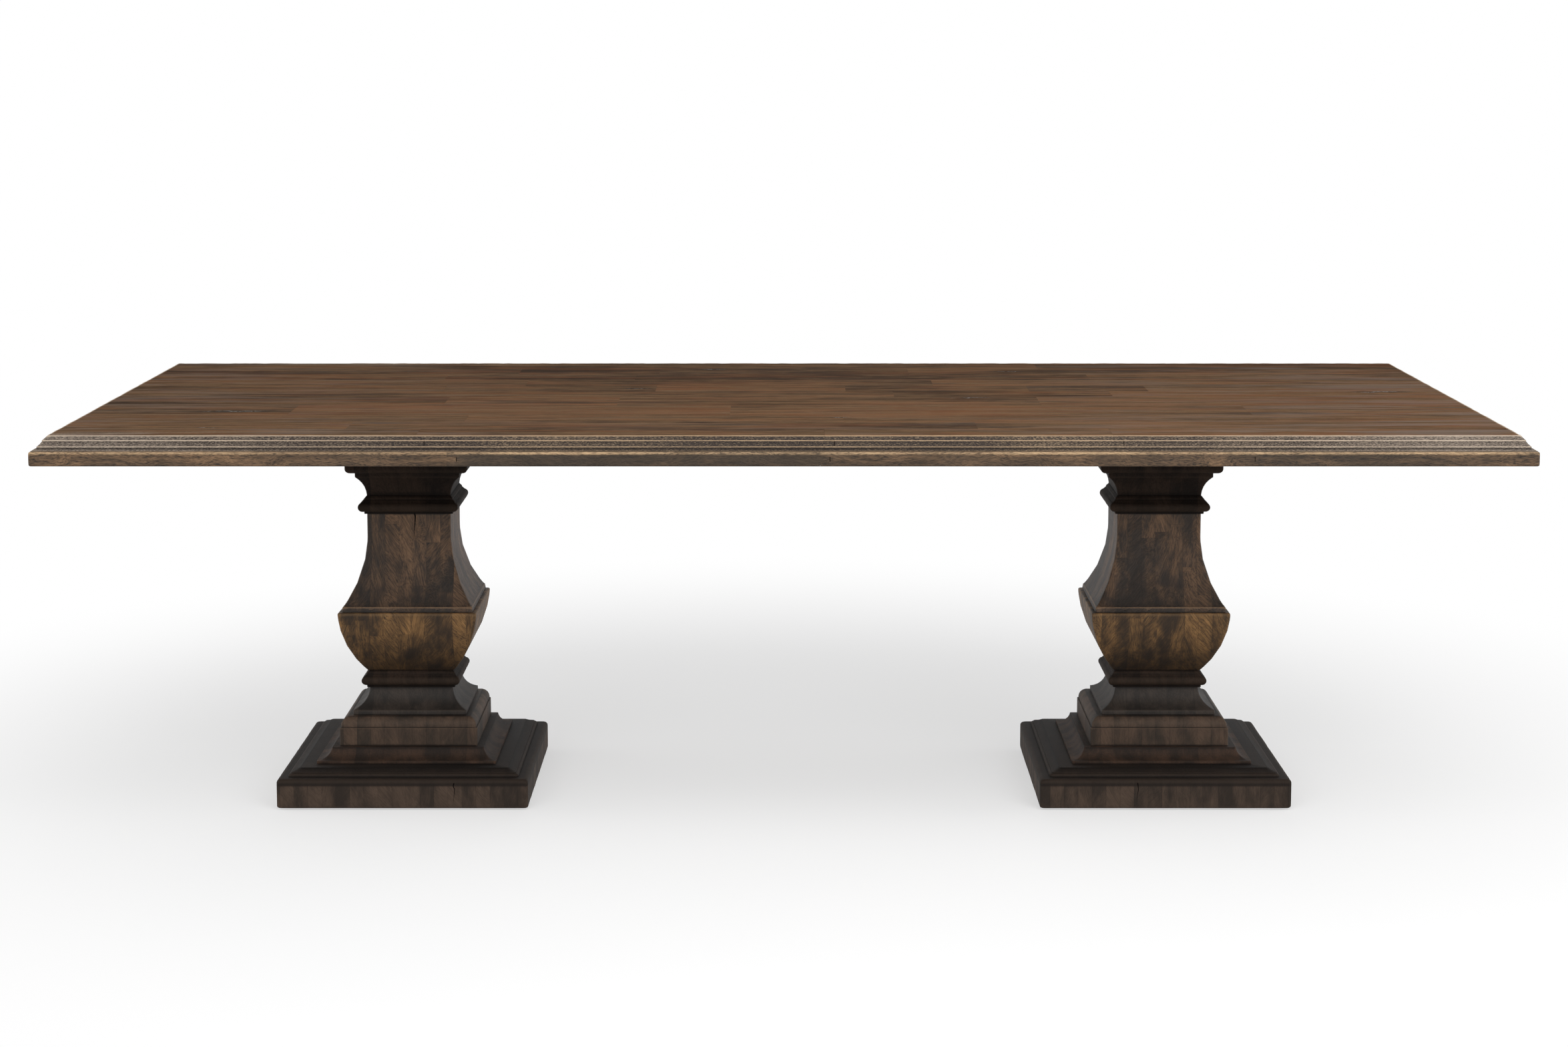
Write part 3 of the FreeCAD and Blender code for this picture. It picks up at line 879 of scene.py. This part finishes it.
def blend(share, first, second):
    """Mix two colours. A Mix node has its colours at inputs 6 and 7 and at output 2."""
    mix_inputs = {0: share, 6: first, 7: second}
    return new_field(share.tree, "Mix", mix_inputs, output=2, data_type="RGBA")


def band(value, low, high, start=0.0, end=1.0):
    """A soft step from start to end while the value goes from low to high."""
    limits = {0: value, 1: low, 2: high, 3: start, 4: end}
    return new_field(value.tree, "MapRange", limits, interpolation_type="SMOOTHSTEP")


def cloud(place, rates, detail=3.0, rough=0.55):
    """Noise with its own number of changes per metre along each axis."""
    scaled = vector_math(place, "MULTIPLY", rates)
    inputs = {"Vector": scaled, "Scale": 1.0, "Detail": detail, "Roughness": rough}
    return new_field(place.tree, "TexNoise", inputs)


def tint(red, green, blue):
    """A colour as it looks on the screen, for a shader."""
    linear = []
    for value in (red, green, blue):
        share = value / 255
        linear.append(share / 12.92 if share <= 0.04045 else ((share + 0.055) / 1.055) ** 2.4)
    return (*linear, 1.0)


print("a middle grey of 128 is", round(tint(128, 128, 128)[0], 3), "to the shader")

# %% Groups of nodes
vector_labels = ("Place", "Centre", "Turned")


def start_group(name, inputs, outputs):
    """A new node group: its tree, the fields that it is given and the sockets that it has to feed."""
    tree = bpy.data.node_groups.new(name, "ShaderNodeTree")
    for way, labels in (("INPUT", inputs), ("OUTPUT", outputs)):
        for label in labels:
            kind = "Vector" if label in vector_labels else "Float"
            tree.interface.new_socket(label, in_out=way, socket_type=f"NodeSocket{kind}")
    given = fields_of(tree.nodes.new("NodeGroupInput"))
    return tree, given, tree.nodes.new("NodeGroupOutput").inputs


def use_group(group, place, **inputs):
    """Put a group into the tree of a place, and return its outputs."""
    node = place.tree.nodes.new("ShaderNodeGroup")
    node.node_tree = group
    for label, source in {"Place": place, **inputs}.items():
        feed(node.inputs[label], source)
    return fields_of(node)


# %% [markdown]
# ## The figure of a board
#
# A board shows rings cut lengthways, streaks of darker wood and short dark dashes. Noise that is
# stretched along the grain makes a hilly field; its contour lines are closed, drawn-out loops like
# those on a sawn board. The seed moves every stave to another part of the field, so no two are alike.

# %% Group for the figure of a board
stave_shift = (0.37, 1.31, 2.17)
ring_count = 75.0
# Each pattern has its changes per metre, detail and roughness, and its limits from pale to dark.
grain_patterns = {
    "Streaks": ((2.4, 85, 85), 4.0, 0.62, 0.33, 0.67),
    "Fibre": ((30, 500, 500), 4.0, 0.66, 0.44, 0.60),
    "Dashes": ((95, 620, 620), 3.0, 0.62, 0.47, 0.61),
}


def own_place(place, seed):
    """The place moved by a seed, so that every stave has its own part of a pattern."""
    return vector_math(vector_of(seed, seed, seed), "MULTIPLY_ADD", stave_shift, place)


def make_board_figure():
    """Grain along the first axis of Place, bent by Wave metres. All outputs go from 0 to 1."""
    tree, given, result = start_group("Board Figure", ("Place", "Seed", "Wave"),
                                      ("Rings", *grain_patterns))
    place = own_place(given["Place"], given["Seed"])
    sway = (cloud(place, (4.5, 9, 9), detail=2.0) - 0.5) * given["Wave"]
    place = vector_math(place, "ADD", vector_of(0.0, sway, sway))
    hills = cloud(place, (1.1, 13, 13), detail=2.0, rough=0.4)
    feed(result["Rings"], band((hills * ring_count).math("SINE"), -0.9, 0.9))
    for name, (rates, detail, rough, low, high) in grain_patterns.items():
        feed(result[name], band(cloud(place, rates, detail, rough), low, high))
    return tree


board_figure = make_board_figure()
print("nodes for the figure of a board:", len(board_figure.nodes))

# %% [markdown]
# ## Blocks glued up from strips
#
# The pedestals show upright seams where strips were glued side by side. Each strip is made of shorter
# pieces with their own tone, and their grain runs at different slants. Rounding the place down gives
# every piece its own whole numbers, and white noise turns those into a tone and a slant. On the left
# and right sides of a block, marked by Flank, width and depth change places.

# %% Group for laminated blocks
layer_depth = 0.16
seed_range = 9.0
seam_core, seam_rim = 0.0001, 0.0008
depth_share = 0.4


def make_laminated():
    """Tone and seams of glued strips, and the place turned with the grain along its first axis."""
    tree, given, result = start_group("Laminated Block", ("Place", "Flank", "Width", "Length", "Slant"),
                                      ("Tone", "Seam", "Turned", "Seed"))
    across, back, up = axes_of(given["Place"])
    change = (back - across) * given["Flank"]
    wide, deep = across + change, back - change
    column = wide / given["Width"]
    strip = column.math("FLOOR")
    start = new_field(tree, "TexWhiteNoise", {"W": strip}, "Value", noise_dimensions="1D")
    row = up / given["Length"] + start
    key = vector_of(strip, row.math("FLOOR"), (deep / layer_depth).math("ROUND"))
    chance = fields_of(new_node(tree, "TexWhiteNoise", {"Vector": key}, noise_dimensions="3D"))
    feed(result["Tone"], chance["Value"])
    feed(result["Seed"], chance["Value"] * seed_range)
    side = column.math("PINGPONG", 0.5) * given["Width"]
    end = row.math("PINGPONG", 0.5) * given["Length"]
    feed(result["Seam"], band(side.math("MINIMUM", end), seam_core, seam_rim, 1.0, 0.0))
    lean = new_field(tree, "SeparateColor", {0: chance["Color"]})
    turn = {"Vector": vector_of(wide, deep * depth_share, up),
            "Angle": (lean - 0.5) * given["Slant"] + math.pi / 2}
    feed(result["Turned"], new_field(tree, "VectorRotate", turn, rotation_type="Y_AXIS"))
    return tree


laminated = make_laminated()
print("nodes for a laminated block:", len(laminated.nodes))

# %% [markdown]
# ## Rubbed arrises and waxed nooks
#
# The wear on every vertex says where the wood is rubbed and where wax has gathered. On the real table
# neither is even along an edge, so two sizes of noise break them up before they are used.

# %% Group for rubbed and waxed edges
def make_rubbed():
    tree, given, result = start_group("Rubbed Edges", ("Wear", "Place"), ("Rubbed", "Waxed"))
    long_change = cloud(given["Place"], (9, 9, 9), detail=2.0)
    short_change = cloud(given["Place"], (230, 420, 420))
    wear = given["Wear"] * (long_change + short_change)
    feed(result["Rubbed"], band(wear, 0.12, 0.55))
    feed(result["Waxed"], band(wear, -0.10, -0.50))
    return tree


rubbed_edges = make_rubbed()
print("nodes for rubbed edges:", len(rubbed_edges.nodes))

# %% [markdown]
# ## Knots and cracks with filler
#
# A few staves have a knot or a crack that was filled. Each is a long soft blot of dark wood with a
# wavering line of pale silvery filler in it, set at a place read from the photograph; the pale colour
# is partly a painted glint.

# %% Group for a filled crack
crack_waver = 0.05
crack_width_share = 0.22


def make_filled_crack():
    tree, given, result = start_group("Filled Crack", ("Place", "Centre", "Reach"), ("Dark", "Filler_and_glint"))
    place = given["Place"]
    away = axes_of(vector_math(place, "SUBTRACT", given["Centre"]))
    waver = (cloud(place, (22, 40, 40), detail=4.0, rough=0.6) - 0.5) * crack_waver
    along = away[0].math("ABSOLUTE") / given["Reach"]
    across = (away[1] + waver).math("ABSOLUTE") / (given["Reach"] * crack_width_share)
    far = (along * along + across * across).math("SQRT")
    feed(result["Dark"], band(far, 0.25, 1.25, 1.0, 0.0))
    line = band(across + along * 0.35, 0.10, 0.38, 1.0, 0.0)
    speck = band(cloud(place, (120, 240, 240), detail=2.0), 0.40, 0.56)
    feed(result["Filler_and_glint"], line * speck)
    return tree


filled_crack = make_filled_crack()
print("shared effects:", [group.name for group in bpy.data.node_groups])

# %% [markdown]
# ## The finish of the top
#
# The top is stained brown over reddish wood, with smoky patches and some orange staves, then waxed.
# The tone of a stave chooses between a dark, a middle and an orange brown. Streaks, rings and fine
# fibres darken it, and each stave has strokes of its own, some reddish, some pale grey: dull old wax
# with a painted sheen, most towards the front and the two ends. The moulded edge is rubbed tan on its
# arrises and grey-black with wax in its hollows. One picture of wood could be painted over it all,
# but then the staves would not end where their joints are.

# %% Helpers for materials
def start_material(name, shine):
    """A new material with its shader, and the place on the table in metres."""
    material = bpy.data.materials.new(name)
    material.use_nodes = True
    shader = material.node_tree.nodes["Principled BSDF"]
    shader.inputs["Specular IOR Level"].default_value = shine
    place = new_field(material.node_tree, "TexCoord", {}, "Object")
    return material, shader, place


def complete(shader, colour, rough, height=None, relief=0.0):
    """Give a shader its colour and roughness, and its relief in metres where there is one."""
    feed(shader.inputs["Base Color"], colour)
    feed(shader.inputs["Roughness"], rough)
    if height is not None:
        bump = {"Height": height, "Distance": relief, "Strength": 1.0}
        feed(shader.inputs["Normal"], new_field(height.tree, "Bump", bump, "Normal"))


def attribute(place, name):
    return new_field(place.tree, "Attribute", {}, "Fac", attribute_name=name)


def weigh(figure, **shares):
    """The sum of some outputs of a figure, each times its share."""
    parts = [figure[name] * share for name, share in shares.items()]
    return sum(parts[1:], parts[0])


def worn_edges(place):
    return use_group(rubbed_edges, place, Wear=attribute(place, "wear"))


# %% Colour of the flat top
dark_stain, brown_stain, orange_stain = tint(52, 39, 30), tint(126, 98, 71), tint(120, 84, 58)
streak_brown, fibre_brown = tint(62, 48, 37), tint(54, 42, 34)
# The pale grey of dull old wax also paints the sheen of the top towards its front and ends.
smoke_grey, red_stain, dull_wax_and_sheen = tint(54, 46, 41), tint(136, 88, 58), tint(121, 108, 99)
red_shift, dull_and_sheen_shift = (7, 3, 0), (2, 9, 0)
tone_drop = 1.15


def dull_and_sheen_share(place):
    """How much dull wax and a painted sheen pale the top towards the front and the two ends, most at the
    right end.
    """
    across, back, _ = axes_of(place)
    right = band(across, 0.2, 1.3, 0.0, 0.44)
    left = band(across, -0.4, -1.3, 0.0, 0.30)
    front = band(back, -0.2, -0.6, 0.05, 0.24)
    return right + left + front


def long_strokes(place, shift):
    """Soft strokes along the boards. Another shift gives other strokes."""
    moved = vector_math(place, "ADD", shift)
    return band(cloud(moved, (3, 26, 26), detail=5.0, rough=0.62), 0.44, 0.66)


def top_colour(place, figure):
    """Stain, figure and smoky patches of the flat top, and strokes of dull wax with a painted sheen."""
    own = own_place(place, attribute(place, "stave"))
    wide_change = cloud(place, (1.5, 13, 13)) * 1.5
    narrow_change = cloud(place, (3, 40, 40), detail=4.0, rough=0.6) * 0.9
    strokes = (cloud(own, (14, 60, 60), detail=5.0, rough=0.62) - 0.5) * 1.3
    tone = attribute(place, "tone") + (wide_change + narrow_change - tone_drop + strokes)
    colour = blend(band(tone, -0.1, 0.8), dark_stain, brown_stain)
    colour = blend(band(tone, 0.65, 1.05), colour, orange_stain)
    colour = blend(weigh(figure, Streaks=0.40, Rings=0.12), colour, streak_brown)
    colour = blend(weigh(figure, Fibre=0.24, Dashes=0.16), colour, fibre_brown)
    smoke_and_shade = band(cloud(place, (2.4, 12, 12), detail=4.0, rough=0.6), 0.58, 0.72)
    colour = blend(smoke_and_shade * 0.65, colour, smoke_grey)
    colour = blend(long_strokes(own, red_shift) * 0.32, colour, red_stain)
    # Pale grey strokes: dull wax, with a painted sheen towards the front and the ends.
    return blend(long_strokes(own, dull_and_sheen_shift) * dull_and_sheen_share(place), colour, dull_wax_and_sheen)


# %% Material of the top boards
edge_wax, edge_tan, end_tan = tint(56, 51, 49), tint(160, 138, 113), tint(157, 143, 129)
nook_wax, edge_rub, end_rub = tint(36, 33, 31), tint(190, 162, 130), tint(196, 179, 160)
seam_brown, crack_dark, crack_filler_and_glint = tint(46, 35, 27), tint(48, 41, 36), tint(150, 146, 140)
# The moulded edge has its own finish between these heights above the foot and below the top.
foot_start, foot_full = 0.0002, 0.0008
rim_full, rim_end = 0.0014, 0.0005
# Each crack has its place across and back, and its reach along the board.
crack_places = (
    (-0.158, 0.468, 0.045), (-1.055, -0.239, 0.085), (-1.069, -0.474, 0.030), (1.212, 0.065, 0.080),
    (0.375, -0.030, 0.060), (0.105, -0.330, 0.030), (0.480, 0.420, 0.050), (-0.30, 0.12, 0.040),
)


def edge_colour(place, ends):
    """Grey wax and tan wood, speckled along the moulded edge and paler towards the ends."""
    broad = cloud(place, (3, 3, 3), detail=2.0) + ends * 0.42
    grain = cloud(place, (240, 760, 760), detail=4.0, rough=0.72)
    tan_share = band(grain + broad * 0.20, 0.54, 0.88)
    return blend(tan_share, edge_wax, blend(ends, edge_tan, end_tan))


def add_cracks(place, colour, rough):
    """Lay every filled crack over a colour and a roughness."""
    for across, back, reach in crack_places:
        crack = use_group(filled_crack, place, Centre=(across, back, cad_high.z), Reach=reach)
        colour = blend(crack["Dark"] * 0.75, colour, crack_dark)
        # The pale filler is partly a painted glint.
        colour = blend(crack["Filler_and_glint"], colour, crack_filler_and_glint)
        rough = rough - crack["Filler_and_glint"] * 0.15
    return colour, rough


def make_top_material():
    material, shader, place = start_material("Waxed top boards", shine=0.02)
    figure = use_group(board_figure, place, Seed=attribute(place, "stave"), Wave=0.006)
    across, _, up = axes_of(place)
    ends = band(across.math("ABSOLUTE"), 0.4, 1.3)
    above_foot = band(up, panel_foot_z + foot_start, panel_foot_z + foot_full)
    below_top = band(up, cad_high.z - rim_full, cad_high.z - rim_end, 1.0, 0.0)
    colour = blend(above_foot * below_top, top_colour(place, figure), edge_colour(place, ends))
    edges = worn_edges(place)
    colour = blend(above_foot * (edges["Waxed"] * 0.75), colour, nook_wax)
    colour = blend(edges["Rubbed"] * (ends * 0.25 + 0.70), colour, blend(ends, edge_rub, end_rub))
    colour = blend(attribute(place, "nook"), colour, seam_brown)
    colour, rough = add_cracks(place, colour, figure["Streaks"] * 0.12 + 0.80)
    complete(shader, colour, rough, weigh(figure, Dashes=-0.4, Fibre=-0.4), relief=0.0004)
    return material


top_wood = make_top_material()
print("nodes for the top boards:", len(top_wood.node_tree.nodes))

# %% [markdown]
# ## The strips below the rim
#
# The strips are rougher than the top: tan wood with short dark lines of wax in its open grain, and a
# pale rub along the shoulder that comes and goes. Their grain is wavier than that of the boards.

# %% Material of the edge strips
strip_dark, strip_tan, strip_grain = tint(69, 58, 47), tint(132, 104, 78), tint(44, 38, 33)
strip_wax, shoulder_rub, strip_seam = tint(40, 36, 33), tint(188, 158, 122), tint(40, 30, 23)
wax_rise = 0.001
rub_start, rub_full = 0.008, 0.003


def make_strip_material():
    material, shader, place = start_material("Waxed edge strips", shine=0.2)
    figure = use_group(board_figure, place, Seed=attribute(place, "stave"), Wave=0.08)
    tone = attribute(place, "tone") + (cloud(place, (5, 14, 22)) - 0.5) * 1.4
    colour = blend(band(tone, 0.1, 0.8), strip_dark, strip_tan)
    colour = blend(weigh(figure, Fibre=0.34, Dashes=0.44, Rings=0.30), colour, strip_grain)
    edges = worn_edges(place)
    up = axes_of(place)[2]
    above_foot = band(up, strip_foot_z, strip_foot_z + wax_rise, 0.0, 0.7)
    colour = blend(edges["Waxed"] * above_foot, colour, strip_wax)
    shoulder = band(up, strip_foot_z + rub_start, panel_foot_z - rub_full, 0.0, 0.85)
    spells = band(cloud(place, (3, 3, 3)), 0.42, 0.60, 0.6, 1.0)
    broken = spells - figure["Dashes"] * 0.5
    colour = blend(edges["Rubbed"] * (shoulder * broken), colour, shoulder_rub)
    colour = blend(attribute(place, "nook"), colour, strip_seam)
    complete(shader, colour, 0.55, weigh(figure, Dashes=-0.6, Fibre=-0.4), relief=0.0005)
    return material


strip_wood = make_strip_material()
print("nodes for the edge strips:", len(strip_wood.node_tree.nodes))

# %% [markdown]
# ## The pedestals
#
# Neck and bowl are glued from strips of worn brown wood. The collars and the mouldings next to them
# are stained nearly black and rubbed smooth. Plinth, die and cove board are dark brown between the two.
# All these finishes are one recipe with other colours: a dark and a pale wood for the strips, a stain
# for the grain, and a rub for the arrises. A darker band between two heights is partly smoke and partly
# painted shade, as on the lower half of the bowl, which faces down.

# %% Recipe for the pedestals
strip_width = 0.0275
short_strips, long_strips = 0.30, 5.0
grain_slant = math.radians(95)
glue_brown, block_smoke_and_shade = tint(26, 21, 18), tint(28, 23, 20)
block_wax, hole_black = tint(20, 17, 15), tint(12, 10, 9)


def make_pedestal_material(name, shine, rough, relief, dark, pale, grain, rub, tone_share, grain_share,
                           rub_share, length=long_strips, smoke_and_shade=None):
    """Glued strips with worn edges. The darkening by height, partly smoke and partly painted shade, is
    the height where it starts, the height where it is full, and how much it darkens."""
    material, shader, place = start_material(name, shine)
    block = use_group(laminated, place, Flank=attribute(place, "flank"), Width=strip_width,
                      Length=length, Slant=grain_slant)
    figure = use_group(board_figure, block["Turned"], Seed=block["Seed"], Wave=0.10)
    patch = cloud(place, (30, 30, 10), detail=5.0, rough=0.6)
    tone = (block["Tone"] - 0.5) * tone_share + (patch - 0.5) * 1.8
    colour = blend(band(tone, -0.34, 0.34), tint(*dark), tint(*pale))
    lines = weigh(figure, Fibre=0.44, Dashes=0.18, Streaks=0.26, Rings=0.16)
    colour = blend(lines * grain_share, colour, tint(*grain))
    colour = blend(block["Seam"] * 0.32, colour, glue_brown)
    # A darker band by height: smoke, and painted shade where a block faces down.
    if smoke_and_shade:
        start, full, share = smoke_and_shade
        colour = blend(band(axes_of(place)[2], start, full, 0.0, share), colour, block_smoke_and_shade)
    edges = worn_edges(place)
    colour = blend(edges["Waxed"] * 0.75, colour, block_wax)
    colour = blend(edges["Rubbed"] * rub_share, colour, tint(*rub))
    colour = blend(attribute(place, "nook"), colour, hole_black)
    complete(shader, colour, rough, figure["Fibre"] * -0.6 + block["Seam"] * -0.2, relief)
    return material


# %% Finishes of the pedestals
# The neck darkens towards its foot.
neck_wood = make_pedestal_material(
    "Worn neck", shine=0.25, rough=0.55, relief=0.0004, dark=(58, 48, 41), pale=(130, 100, 75),
    grain=(34, 30, 27), rub=(140, 112, 86), tone_share=0.42, grain_share=1.0, rub_share=0.5,
    length=short_strips, smoke_and_shade=(0.47, 0.36, 0.55))
# The bowl darkens towards its foot: painted shade on its lower half, which faces down.
bowl_wood = make_pedestal_material(
    "Golden bowl", shine=0.20, rough=0.55, relief=0.0004, dark=(60, 46, 34), pale=(152, 114, 72),
    grain=(40, 34, 28), rub=(150, 118, 82), tone_share=0.36, grain_share=0.95, rub_share=0.2,
    length=short_strips, smoke_and_shade=(0.35, 0.25, 0.75))
black_wood = make_pedestal_material(
    "Black mouldings", shine=0.04, rough=0.62, relief=0.00015, dark=(33, 28, 25), pale=(54, 43, 36),
    grain=(20, 17, 15), rub=(62, 51, 42), tone_share=0.6, grain_share=0.6, rub_share=0.3)
scotia_wood = make_pedestal_material(
    "Worn scotia", shine=0.20, rough=0.6, relief=0.00015, dark=(38, 34, 31), pale=(60, 52, 46),
    grain=(22, 19, 17), rub=(66, 56, 48), tone_share=0.6, grain_share=0.6, rub_share=0.3)
die_wood = make_pedestal_material(
    "Dark die", shine=0.14, rough=0.62, relief=0.0002, dark=(49, 42, 36), pale=(85, 68, 56),
    grain=(40, 34, 30), rub=(92, 76, 62), tone_share=0.55, grain_share=0.5, rub_share=0.4)
# The plinth darkens over its top lip and steps.
plinth_wood = make_pedestal_material(
    "Dark plinth", shine=0.10, rough=0.68, relief=0.0002, dark=(47, 40, 35), pale=(80, 66, 56),
    grain=(38, 32, 28), rub=(70, 57, 47), tone_share=0.40, grain_share=0.5, rub_share=0.2,
    smoke_and_shade=(0.046, 0.051, 0.9))
cove_wood = make_pedestal_material(
    "Dark cove", shine=0.12, rough=0.66, relief=0.0002, dark=(40, 32, 27), pale=(70, 52, 41),
    grain=(34, 28, 24), rub=(74, 60, 50), tone_share=0.45, grain_share=0.5, rub_share=0.2)
print("finishes so far:", [material.name for material in bpy.data.materials if material.users])

# %% [markdown]
# ## Hidden pieces
#
# Bearers, battens, dowels and metal fittings can't be seen in the photograph and keep their packed
# shape. They get plainer finishes: stained wood, beech, zinc plate, brass and nylon.

# %% Materials of the hidden pieces
metal_change = 0.08


def make_plain_wood(name, pale, dark):
    material, shader, place = start_material(name, shine=0.3)
    figure = use_group(board_figure, place, Seed=3.0, Wave=0.01)
    complete(shader, blend(weigh(figure, Streaks=0.5, Rings=0.3), pale, dark), rough=0.65)
    return material


def make_metal(name, colour, rough):
    material, shader, place = start_material(name, shine=0.5)
    shader.inputs["Metallic"].default_value = 1.0
    smooth, dull = rough - metal_change, rough + metal_change
    complete(shader, colour, band(cloud(place, (160, 160, 160)), 0.3, 0.7, smooth, dull))
    return material


def make_nylon():
    material, shader, place = start_material("Nylon glides", shine=0.5)
    scuff = band(cloud(place, (200, 200, 200)), 0.4, 0.7)
    complete(shader, blend(scuff, tint(38, 37, 36), tint(58, 56, 54)), rough=0.6)
    return material


underside = make_plain_wood("Stained underside", tint(100, 77, 57), tint(70, 53, 40))
beech = make_plain_wood("Beech dowels", tint(206, 170, 130), tint(178, 140, 102))
zinc = make_metal("Zinc plate", tint(124, 125, 127), 0.42)
brass = make_metal("Brass inserts", tint(212, 176, 104), 0.34)
nylon = make_nylon()
print("hidden pieces:", [finish.name for finish in (underside, beech, zinc, brass, nylon)])

# %% Every piece gets its finish
finishes = {
    "plinth": plinth_wood, "cove_board": cove_wood, "die_block": die_wood, "scotia_block": scotia_wood,
    "lower_collar": black_wood, "bowl_block": bowl_wood, "neck_block": neck_wood,
    "upper_collar": black_wood, "capital": black_wood, "abacus": black_wood, "edge_strip": strip_wood,
    "dowels": beech, "glides": nylon, "inserts": brass, "rod": zinc, "nuts": zinc, "washers": zinc,
    "bolts": zinc, "screws": zinc, "bearer": underside, "batten": underside, "top_plate": underside,
}


def finish_for(node):
    """The material of a node, found by the end of its name. Top boards end in a number."""
    if node.startswith("top_board"):
        return top_wood
    return next(finish for kind, finish in finishes.items() if node.endswith(kind))


for node, piece in pieces.items():
    piece.data.materials.append(finish_for(node))
carried = [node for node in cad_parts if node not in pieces]
for node in carried:
    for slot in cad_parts[node].material_slots:
        slot.material = finish_for(node)
print("pieces with a finish:", len(pieces), "carried over:", len(carried))

# %% [markdown]
# ## Floor, light and camera
#
# The photograph shows the table cut out on plain white in soft light. A pale floor keeps the shadow
# near the table and turns plain white further out, so it has no edge. Six large soft lights stand round
# the table, so that no side is left dark. The camera stands where the photograph was taken from: level
# with the middle of the table, nearly six metres away, looking slightly down.

# %% Floor and world
floor_light = 0.5
world_light = 0.42
floor_half = 40
white = (1, 1, 1, 1)
floor_grey, floor_seen = (0.5, 0.5, 0.5, 1.0), (0.9, 0.9, 0.9, 1.0)


def seen_directly(tree):
    """1 for rays from the camera, also by way of a mirror or glass."""
    ray = fields_of(new_node(tree, "LightPath", {}))
    mirrored = ray["Is Glossy Ray"].math("MAXIMUM", ray["Is Transmission Ray"])
    return ray["Is Camera Ray"].math("MAXIMUM", mirrored)


def shine_through(tree, output, share, below, kind):
    """Mix a plain white light over a shader by a share, and feed it to the tree's output."""
    light = new_field(tree, kind, {"Color": white, "Strength": 1.0})
    mixed = new_field(tree, "MixShader", {0: share, 1: Field(below.outputs[0]), 2: light})
    feed(tree.nodes[output].inputs["Surface"], mixed)


def make_floor_material():
    material, shader, place = start_material("Pale floor", shine=0.0)
    direct = seen_directly(place.tree)
    complete(shader, blend(direct, floor_grey, floor_seen), rough=0.9)
    far = new_field(place.tree, "VectorMath", {0: place}, "Value", operation="LENGTH")
    share = direct * band(far, 1.2, 2.6, floor_light, 1.0)
    shine_through(place.tree, "Material Output", share, shader, "Emission")
    return material


def make_world():
    world = bpy.data.worlds.new("Studio")
    world.use_nodes = True
    around = world.node_tree.nodes["Background"]
    around.inputs["Color"].default_value = white
    around.inputs["Strength"].default_value = world_light
    shine_through(world.node_tree, "World Output", seen_directly(world.node_tree), around, "Background")
    bpy.context.scene.world = world


def make_floor():
    block = bmesh.new()
    bmesh.ops.create_grid(block, x_segments=1, y_segments=1, size=floor_half)
    floor = object_of("studio_floor", block)
    floor.data.materials.append(make_floor_material())


make_world()
make_floor()
print("light from all round:", world_light, "floor:", 2 * floor_half, "m wide")

# %% Lights
lit_middle = Vector((0, 0, 0.5))


def add_light(name, place, size, power, glossy=True):
    """A large soft light at a place, turned to the middle of the table."""
    data = bpy.data.lights.new(name, "AREA")
    data.shape = "RECTANGLE"
    data.size, data.size_y = size
    data.energy = power
    lamp = bpy.data.objects.new(name, data)
    lamp.location = place
    lamp.visible_glossy = glossy
    lamp.rotation_euler = (lit_middle - Vector(place)).to_track_quat("-Z", "Y").to_euler()
    bpy.context.scene.collection.objects.link(lamp)


add_light("overhead", (1.0, -2.4, 3.1), (5.0, 2.4), 80)
add_light("front_left", (-2.6, -5.0, 2.4), (2.8, 2.8), 84)
add_light("front_right", (2.8, -4.6, 2.0), (2.6, 2.6), 72)
add_light("left_side", (-5.2, 0.4, 1.0), (2.6, 1.8), 66)
add_light("right_side", (5.2, 0.4, 1.0), (2.6, 1.8), 66)
add_light("back", (0, 5.4, 1.4), (4.0, 1.6), 60, glossy=False)

# %% Camera
camera_place = (0, -5.8152, 1.5169)
camera_tilt = math.radians(6.5491)
scene = bpy.context.scene
camera = bpy.data.objects.new("photo_camera", bpy.data.cameras.new("photo_camera"))
camera.data.sensor_width = 36
camera.data.lens = 66.667
camera.data.shift_y = -0.10
camera.location = camera_place
camera.rotation_euler = (math.pi / 2 - camera_tilt, 0, 0)
scene.collection.objects.link(camera)
scene.camera = camera
scene.view_settings.view_transform = "Standard"
print("camera at", [round(part, 2) for part in camera.location], "lens:", round(camera.data.lens, 1))
